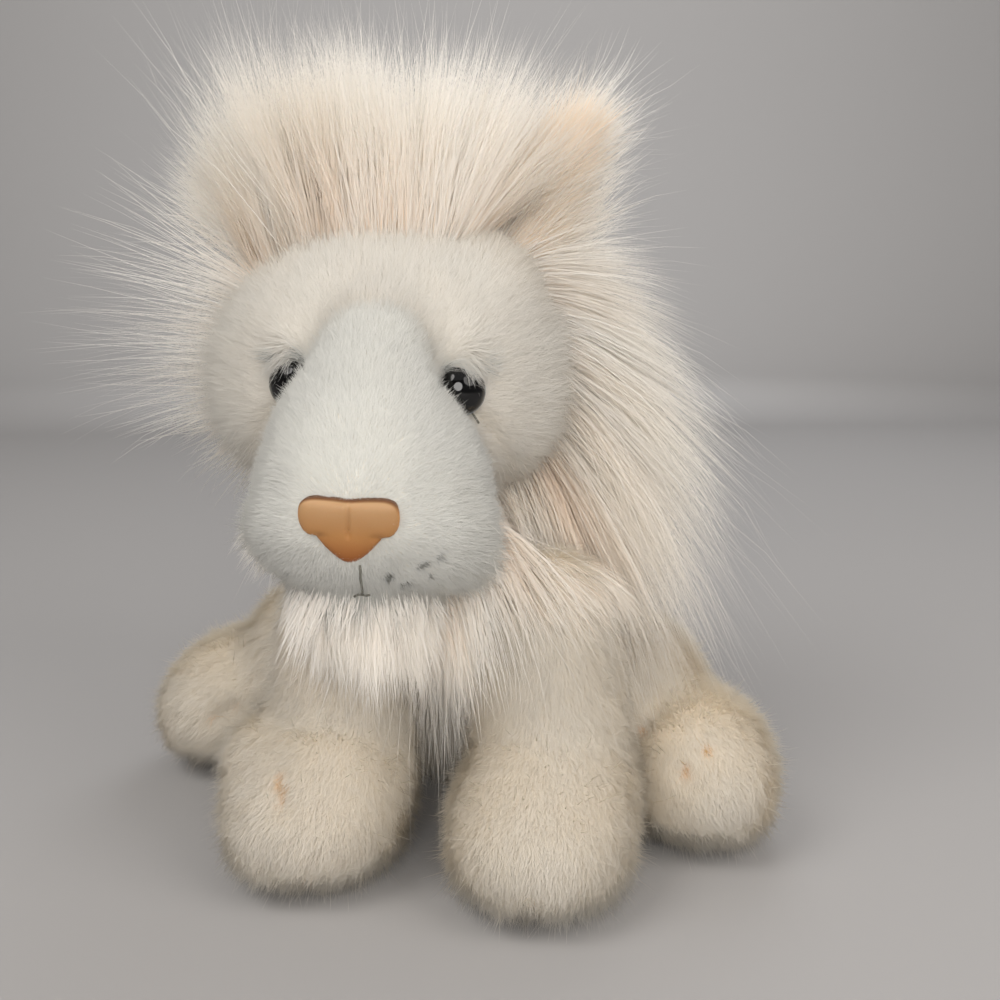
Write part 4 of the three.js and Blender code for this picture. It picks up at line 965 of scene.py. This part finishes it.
# Below the long hair lies a shorter, denser undercoat, which is deeper in colour.
zones = [(crown_zone, crown_heading), (left_zone, left_heading), (right_zone, right_heading), (left_collar, draped),
         (nape_zone, nape_heading), (bib_zone, bib_heading)]
undercoat_heading = unit(sum(zone[:, None] * heading for zone, heading in zones) + 1e-6 * normals)
undercoat_zone = sum(zone for zone, _ in zones) * (1 - 0.55 * side_zone * right_half) + 0.3 * on_ear * right_half
hair("mane_undercoat", undercoat_zone, undercoat_heading, 21 + 6 * patchy - 8 * before_ear,
     0.24 + 0.2 * patchy + 0.35 * side_zone * right_half, 48000, 47, steps=2,
     **{"Lock pull": 0.3, "Width": 0.40 * MM})

tuft_core = stuffed_skin("tail_tuft_plush", ["tail_tuft"], 1.8, 3, tuck=4.0)
everywhere = np.ones(len(tuft_core.data.vertices))
tuft_cloth = marked_cloth(tuft_core, density=everywhere, pile=everywhere * 19.0 * MM,
                          comb=np.outer(everywhere, (0.0, 1.0, 0.05)), shade=everywhere * 0.7)
grown_pile("tail_tuft_hair", tuft_cloth, TAIL, "mane_hair", 4, long_pile, 46,
           **{**LONG, "Fibres per square metre": 1.7e6, "Rise at root": 0.6, "Mass share": 0.0, "Lock pull": 0.25,
              "Unevenness": 0.5})
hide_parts("tail_tuft")
skins["tail_tuft_plush"] = tuft_core

# The skins themselves are the knitted backing that shows between the fibres.
for name, thing in skins.items():
    on_tail = name.startswith("tail")
    cloth = white_cloth if name == "head_plush" else cream_cloth
    if name.startswith(("ear", "tail_tuft")):
        cloth = peach_cloth
    thing.data.materials.clear()
    thing.data.materials.append(cloth)
    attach(thing, TAIL if on_tail else BODY)
for thing in (mane_backing, *fibres.values()):
    bpy.data.objects.remove(thing)


# Eyes and nose
def moulded(name, hex_text, roughness, coat, grain_mm, grain_depth, **more):
    """Moulded plastic: one colour, with the faint grain that its mould leaves."""
    material, tree = new_material(name)
    where = add_node(tree, "ShaderNodeTexCoord")
    grain = add_node(tree, "ShaderNodeTexNoise", {"Vector": where.outputs["Object"], "Scale": 1 / (grain_mm * MM),
                                                  "Detail": 2.0})
    relief = add_node(tree, "ShaderNodeBump", {"Height": grain, "Strength": grain_depth, "Distance": 0.05 * MM})
    mottle = add_node(tree, "ShaderNodeTexNoise", {"Vector": where.outputs["Object"], "Scale": 220.0, "Detail": 2.0})
    tint = add_node(tree, "ShaderNodeMapRange", {0: mottle, 1: 0.3, 2: 0.7, 3: 0.88, 4: 1.06})
    hue = add_node(tree, "ShaderNodeMix", {0: 1.0, 6: colour(hex_text), 7: tint}, data_type="RGBA",
                   blend_type="MULTIPLY")
    shader = add_node(tree, "ShaderNodeBsdfPrincipled",
                      {"Base Color": hue.outputs[2], "Roughness": roughness, "Coat Weight": coat,
                       "Coat Roughness": 0.05, "Normal": relief, "IOR": 1.49, **more})
    add_node(tree, "ShaderNodeOutputMaterial", {"Surface": shader})
    return material


# The eye is polished black acrylic that mirrors the lights, with a slate rim under a clear coat.
pupil_acrylic = moulded("black_acrylic", "#050506", 0.04, 0.0, 0.5, 0.05)
iris_acrylic = moulded("slate_acrylic_rim", "#8b939d", 0.14, 0.6, 0.5, 0.05)


def turned_about(axis, foot, profile, sides):
    """A closed turned form: rings of (radius, height) about an axis, with its two ends closed by points."""
    axis = Vector(axis)
    turn = np.array(axis.to_track_quat("Z", "Y").to_matrix())
    points = [(0, 0, profile[0][1])]
    for radius, height in profile:
        points += [(radius * math.cos(t), radius * math.sin(t), height) for t in even_turns(sides)]
    points.append((0, 0, profile[-1][1]))
    faces = [(0, 1 + (i + 1) % sides, 1 + i) for i in range(sides)] + ring_faces(1, len(profile), sides)
    last = 1 + (len(profile) - 1) * sides
    faces += [(last + i, last + (i + 1) % sides, len(points) - 1) for i in range(sides)]
    return (np.array(points) * MM) @ turn.T + np.asarray(foot), faces


# Sizes of an eye in mm: a dome on a thin flange, with a stem behind it, sunk a little into the fur.
EYE_RADIUS, EYE_BULGE, FLANGE, STEM_RADIUS, STEM_LENGTH, SUNK = 8.0, 6.2, 1.2, 2.2, 9.6, 0.4
EYE_SIDES, DOME_STEPS, RIM_WIDTH = 56, 15, 1.4
for side, axis in eye_axes.items():
    foot = eye_tops[side] - axis * (EYE_BULGE + FLANGE + SUNK) * MM
    profile = [(STEM_RADIUS - 0.3, -STEM_LENGTH), (STEM_RADIUS, -STEM_LENGTH + 0.4), (STEM_RADIUS, -0.3),
               (STEM_RADIUS + 0.4, 0), (EYE_RADIUS - 0.5, 0), (EYE_RADIUS - 0.1, 0.2), (EYE_RADIUS, 0.6),
               (EYE_RADIUS - 0.05, FLANGE)]
    profile += [((EYE_RADIUS - 0.25) * math.cos(t), FLANGE + EYE_BULGE * math.sin(t))
                for t in (math.radians(2 + 87 * i / DOME_STEPS) for i in range(DOME_STEPS + 1))]
    points, faces = turned_about(axis, foot, profile, EYE_SIDES)
    mesh = bpy.data.meshes.new(f"eye_{side}_dome")
    mesh.from_pydata([tuple(p) for p in points], [], faces)
    mesh.materials.append(pupil_acrylic)
    mesh.materials.append(iris_acrylic)
    for face in mesh.polygons:
        spot = np.array(face.center) - foot
        rise = spot @ axis / MM
        aside = (spot - axis * (spot @ axis)) @ HEAD_TURN / MM
        # Painted light: the slate rim is the eye's own colour, but it is given only on the dome's lower side, where
        # light comes through the dome onto it.
        low_side = unit(aside) @ (0.6, 0, -0.8)
        near_rim = rise > FLANGE - 0.5 and np.linalg.norm(aside) > EYE_RADIUS - RIM_WIDTH
        face.material_index = int(near_rim and low_side > 0.3)
    mesh.shade_smooth()
    eye = linked(f"eye_{side}_dome", mesh)
    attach(eye, BODY)
    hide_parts(f"eye_{side}")

# Nose: soft moulded vinyl, amber. Its colour is deepest at its lower lobe and is painted lighter and greyer towards the
# top as a painted sheen, with a painted shadow of the fur along its top edge.
nose_turn = HEAD_TURN @ np.array(Matrix.Rotation(math.radians(12), 3, "X"))
nose_solid = points_of(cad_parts["nose"].data) @ nose_turn / MM
plate = nose_solid[nose_solid[:, 1] < nose_solid[:, 1].min() + 4.0]
nose_low, nose_high = plate.min(0), plate.max(0)
nose_middle, nose_half = (nose_low + nose_high) / 2, (nose_high - nose_low) / 2
OUTLINE_ACROSS = [0, 0.20, 0.48, 0.76, 0.94, 1.0, 0.98, 0.87, 0.68, 0.60, 0.47, 0.29, 0.13, 0]
OUTLINE_UP = [0.93, 0.96, 0.99, 0.98, 0.84, 0.52, 0.14, -0.16, -0.25, -0.40, -0.66, -0.94, -1.12, -1.17]


def round_outline(across, up, steps):
    """A smooth closed outline through half its points, mirrored, at even steps from the top middle."""
    xs = np.array(across + [-a for a in across[-2:0:-1]])
    ys = np.array(up + up[-2:0:-1])
    count = len(xs)
    out = []
    for s in np.arange(steps) * count / steps:
        i, t = int(s), s - int(s)
        p = [np.array([xs[(i + k) % count], ys[(i + k) % count]]) for k in (-1, 0, 1, 2)]
        out.append(0.5 * (2 * p[1] + (p[2] - p[0]) * t + (2 * p[0] - 5 * p[1] + 4 * p[2] - p[3]) * t * t
                          + (3 * p[1] - p[0] - 3 * p[2] + p[3]) * t ** 3))
    return np.array(out)


# The nose's front is a low dome over its outline, with two lobes above, one below, a cleft and two nostrils.
NOSE_SIDES, NOSE_RINGS, NOSE_DOME, NOSE_BACK = 120, 26, 2.2, 2.6
outline = round_outline(OUTLINE_ACROSS, OUTLINE_UP, NOSE_SIDES)
rings = [math.sin(math.pi / 2 * i / NOSE_RINGS) for i in range(NOSE_RINGS + 1)]
nose_points, nose_edge = [], []
for ring in rings[1:]:
    for across, up in outline * ring:
        dome = NOSE_DOME * (1 - ring ** 8) ** 0.6
        lobes = 0.26 * (math.exp(-((abs(across) - 0.45) ** 2 / 0.09 + (up - 0.35) ** 2 / 0.2))
                       + 0.8 * math.exp(-(across ** 2 / 0.08 + (up + 0.5) ** 2 / 0.14))) * (1 - ring ** 4)
        cleft = 0.55 * math.exp(-(across / 0.04) ** 2) * smooth_step(-0.30, -0.05, up) * (1 - 0.6 * ring ** 8)
        nostril = 0.7 * math.exp(-((abs(across) - 0.60) ** 2 / 0.02 + (up + 0.22) ** 2 / 0.02)) * (1 - ring ** 6)
        nose_points.append((across * nose_half[0], -(dome + lobes - cleft - nostril), up * nose_half[2]))
        nose_edge.append(ring)
count = len(outline)
nose_points = [(0.0, nose_points[0][1], 0.0)] + nose_points
nose_edge = [0.0] + nose_edge
back_ring = len(nose_points)
nose_points += [(across * nose_half[0] * 0.97, NOSE_BACK, up * nose_half[2] * 0.97) for across, up in outline]
nose_points.append((0.0, NOSE_BACK, 0.0))
nose_edge += [1.0] * (count + 1)
nose_faces = [(0, 1 + i, 1 + (i + 1) % count) for i in range(count)]
nose_faces += ring_faces(1, len(rings), count, outwards=False)
nose_faces += [(back_ring + i, len(nose_points) - 1, back_ring + (i + 1) % count) for i in range(count)]
nose_mesh = bpy.data.meshes.new("nose_moulded")
seat = np.array([nose_middle[0], nose_low[1] + 3.4, nose_middle[2]])
nose_mesh.from_pydata([tuple(p) for p in (np.array(nose_points) + seat) * MM @ nose_turn.T], [], nose_faces)
shape = bmesh.new()
shape.from_mesh(nose_mesh)
bmesh.ops.recalc_face_normals(shape, faces=shape.faces)
shape.to_mesh(nose_mesh)
shape.free()
nose_mesh.shade_smooth()
for name, values in (("up", [p[2] / nose_half[2] for p in nose_points]), ("edge", nose_edge)):
    nose_mesh.attributes.new(name, "FLOAT", "POINT").data.foreach_set("value", values)
nose_vinyl, tree = new_material("amber_soft_vinyl")
up_share = add_node(tree, "ShaderNodeAttribute", attribute_name="up")
edge_share = add_node(tree, "ShaderNodeAttribute", attribute_name="edge")
where = add_node(tree, "ShaderNodeTexCoord")
# Painted sheen: the colour runs from the vinyl's deep amber at the lower lobe to lighter and greyer towards the top.
painted_sheen_tones = add_node(tree, "ShaderNodeValToRGB",
                 {0: add_node(tree, "ShaderNodeMapRange", {0: up_share.outputs["Fac"], 1: -1.0, 2: 1.0})})
painted_sheen_tones.color_ramp.elements.new(0.5)
for stop, (position, hex_text) in zip(painted_sheen_tones.color_ramp.elements,
                                      ((0.0, "#91562a"), (0.42, "#a87848"), (1.0, "#b28f69"))):
    stop.position, stop.color = position, colour(hex_text)
# Painted shadow: a dark brown band along the top edge stands in for the shadow that the fur casts there.
rim_share = add_node(tree, "ShaderNodeMapRange", {0: edge_share.outputs["Fac"], 1: 0.96, 2: 1.0})
edge_shadow_share = add_node(tree, "ShaderNodeMapRange", {0: up_share.outputs["Fac"], 1: 0.6, 2: 0.85})
rim = add_node(tree, "ShaderNodeMix", {0: edge_shadow_share, 6: colour("#b98550"), 7: colour("#6a4222")}, data_type="RGBA")
edge_shadowed = add_node(tree, "ShaderNodeMix", {0: rim_share, 6: painted_sheen_tones, 7: rim.outputs[2]}, data_type="RGBA")
skin_grain = add_node(tree, "ShaderNodeTexNoise", {"Vector": where.outputs["Object"], "Scale": 1 / (0.7 * MM),
                                                   "Detail": 3.0})
relief = add_node(tree, "ShaderNodeBump", {"Height": skin_grain, "Strength": 0.25, "Distance": 0.12 * MM})
shader = add_node(tree, "ShaderNodeBsdfPrincipled",
                  {"Base Color": edge_shadowed.outputs[2], "Roughness": 0.52, "Normal": relief, "IOR": 1.45,
                   "Specular IOR Level": 0.25, "Subsurface Weight": 0.12,
                   "Subsurface Radius": (1.0, 0.45, 0.2), "Subsurface Scale": 2.2 * MM})
add_node(tree, "ShaderNodeOutputMaterial", {"Surface": shader})
nose_mesh.materials.append(nose_vinyl)
nose_piece = linked("nose_moulded", nose_mesh)
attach(nose_piece, BODY)
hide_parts("nose")

# Washers keep their solids, in natural nylon as moulded: off-white, a little glossy, with a fine grain.
washer_nylon = moulded("nylon_washer", "#dcdcd8", 0.45, 0.0, 0.8, 0.3)
for node in ("eye_washer_left", "eye_washer_right", "nose_washer"):
    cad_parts[node].data.materials.clear()
    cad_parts[node].data.materials.append(washer_nylon)


# Threads: the mouth line, the stitch across its end and the thread in the muzzle's seam
THREAD_RADIUS, THREAD_SIDES, MOUTH_LIFT, SEAM_LIFT = 0.32 * MM, 8, 2.2, 3.2


def thread(name, line, radius, material, sides=THREAD_SIDES):
    """A round thread along a line of points, as a closed tube."""
    line = np.array(line)
    ways = unit(np.gradient(line, axis=0))
    points = []
    for place, way in zip(line, ways):
        a = unit(np.cross(way, (0.3, 1.0, 0.2)))
        b = np.cross(way, a)
        points += [place + radius * (a * math.cos(t) + b * math.sin(t)) for t in even_turns(sides)]
    faces = ring_faces(0, len(line), sides)
    faces += [tuple(range(sides))[::-1], tuple((len(line) - 1) * sides + i for i in range(sides))]
    mesh = bpy.data.meshes.new(name)
    mesh.from_pydata([tuple(p) for p in points], [], faces)
    mesh.shade_smooth()
    mesh.materials.append(material)
    return linked(name, mesh)


# Cotton embroidery thread, twisted from strands that lie about 0.35 mm apart: matte and dark, with a lighter and a
# darker tone along its twist.
thread_material, tree = new_material("cotton_embroidery_thread")
where = add_node(tree, "ShaderNodeTexCoord")
twist = add_node(tree, "ShaderNodeTexWave", {"Vector": where.outputs["Object"], "Scale": 900.0, "Distortion": 2.0})
relief = add_node(tree, "ShaderNodeBump", {"Height": twist, "Strength": 0.6, "Distance": 0.1 * MM})
tint = add_node(tree, "ShaderNodeMix", {0: twist, 6: colour("#5c5a52"), 7: colour("#7b7a70")}, data_type="RGBA")
shader = add_node(tree, "ShaderNodeBsdfPrincipled",
                  {"Base Color": tint.outputs[2], "Roughness": 0.8, "Normal": relief})
add_node(tree, "ShaderNodeOutputMaterial", {"Surface": shader})


def on_fur(across, down, lift):
    """A place just above the face's skin, at a place in the picture."""
    place, tree = met_by_sight(head, across, down), search_tree(head.data)
    _, normal, _, _ = tree.find_nearest(Vector(place))
    return place + np.array(normal) * lift * MM


mouth_in_picture = [(361, 562), (361, 567), (361, 573), (362, 579), (363, 584), (363, 588)]
lip_in_picture = [(355, 590), (359, 588), (363, 588), (367, 589), (371, 588)]
for name, places, lift in (("mouth_line", mouth_in_picture, MOUTH_LIFT), ("lip_stitch", lip_in_picture, MOUTH_LIFT),
                           ("muzzle_seam_thread", seam_in_picture[6:9], SEAM_LIFT)):
    line = [on_fur(*place, lift) for place in places]
    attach(thread(name, line, THREAD_RADIUS, thread_material), BODY)

# Fillings, hidden inside: polyester wadding, white and quite matte, and the plain woven pouch of plastic pellets
wadding = backing_cloth("polyester_wadding", "#f2f2f0", "#e4e4e1")
pouch_cloth = backing_cloth("plain_woven_pouch_cloth", "#cfc8b8", "#bfb8a6")
for node, cloth in (("torso_filling", wadding), ("head_filling", wadding), ("pellet_pouch", pouch_cloth)):
    stuffing = stuffed_skin(f"{node}_soft", [node], 3.0, 4, swell=0.2, tuck=1.2)
    places = points_of(stuffing.data)
    puffs = (steady_noise(places / MM, 14, 8) - 0.5) * 1.6 * MM
    move_points(stuffing.data, places + normals_of(stuffing.data) * puffs[:, None] * (node != "pellet_pouch"))
    stuffing.data.materials.append(cloth)
    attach(stuffing, BODY)
    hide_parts(node)

# Floor: a plain matte cloth that runs up behind the toy without an edge
floor_material, floor_tree = new_material("pale_table_cloth")
floor_shader = add_node(floor_tree, "ShaderNodeBsdfPrincipled", {"Base Color": colour("#a3a1a0"), "Roughness": 0.9})
add_node(floor_tree, "ShaderNodeOutputMaterial", {"Surface": floor_shader})
around_steps, sweep_steps, floor_radius, sweep_radius = 96, 12, 1.6, 0.7
profile = [(0.02, 0.0), (floor_radius, 0.0)]
profile += [(floor_radius + sweep_radius * math.sin(a), sweep_radius * (1 - math.cos(a)))
            for a in (math.pi / 2 * (i + 1) / sweep_steps for i in range(sweep_steps))]
profile.append((floor_radius + sweep_radius, 2.2))
floor_points = [(0, 0, 0)] + [(r * math.cos(t), r * math.sin(t), h) for r, h in profile
                              for t in even_turns(around_steps)]
floor_faces = [(0, 1 + i, 1 + (i + 1) % around_steps) for i in range(around_steps)]
floor_faces += ring_faces(1, len(profile), around_steps, outwards=False)
floor_mesh = bpy.data.meshes.new("floor")
floor_mesh.from_pydata(floor_points, [], floor_faces)
floor_mesh.shade_smooth()
floor_mesh.materials.append(floor_material)
linked("floor", floor_mesh)
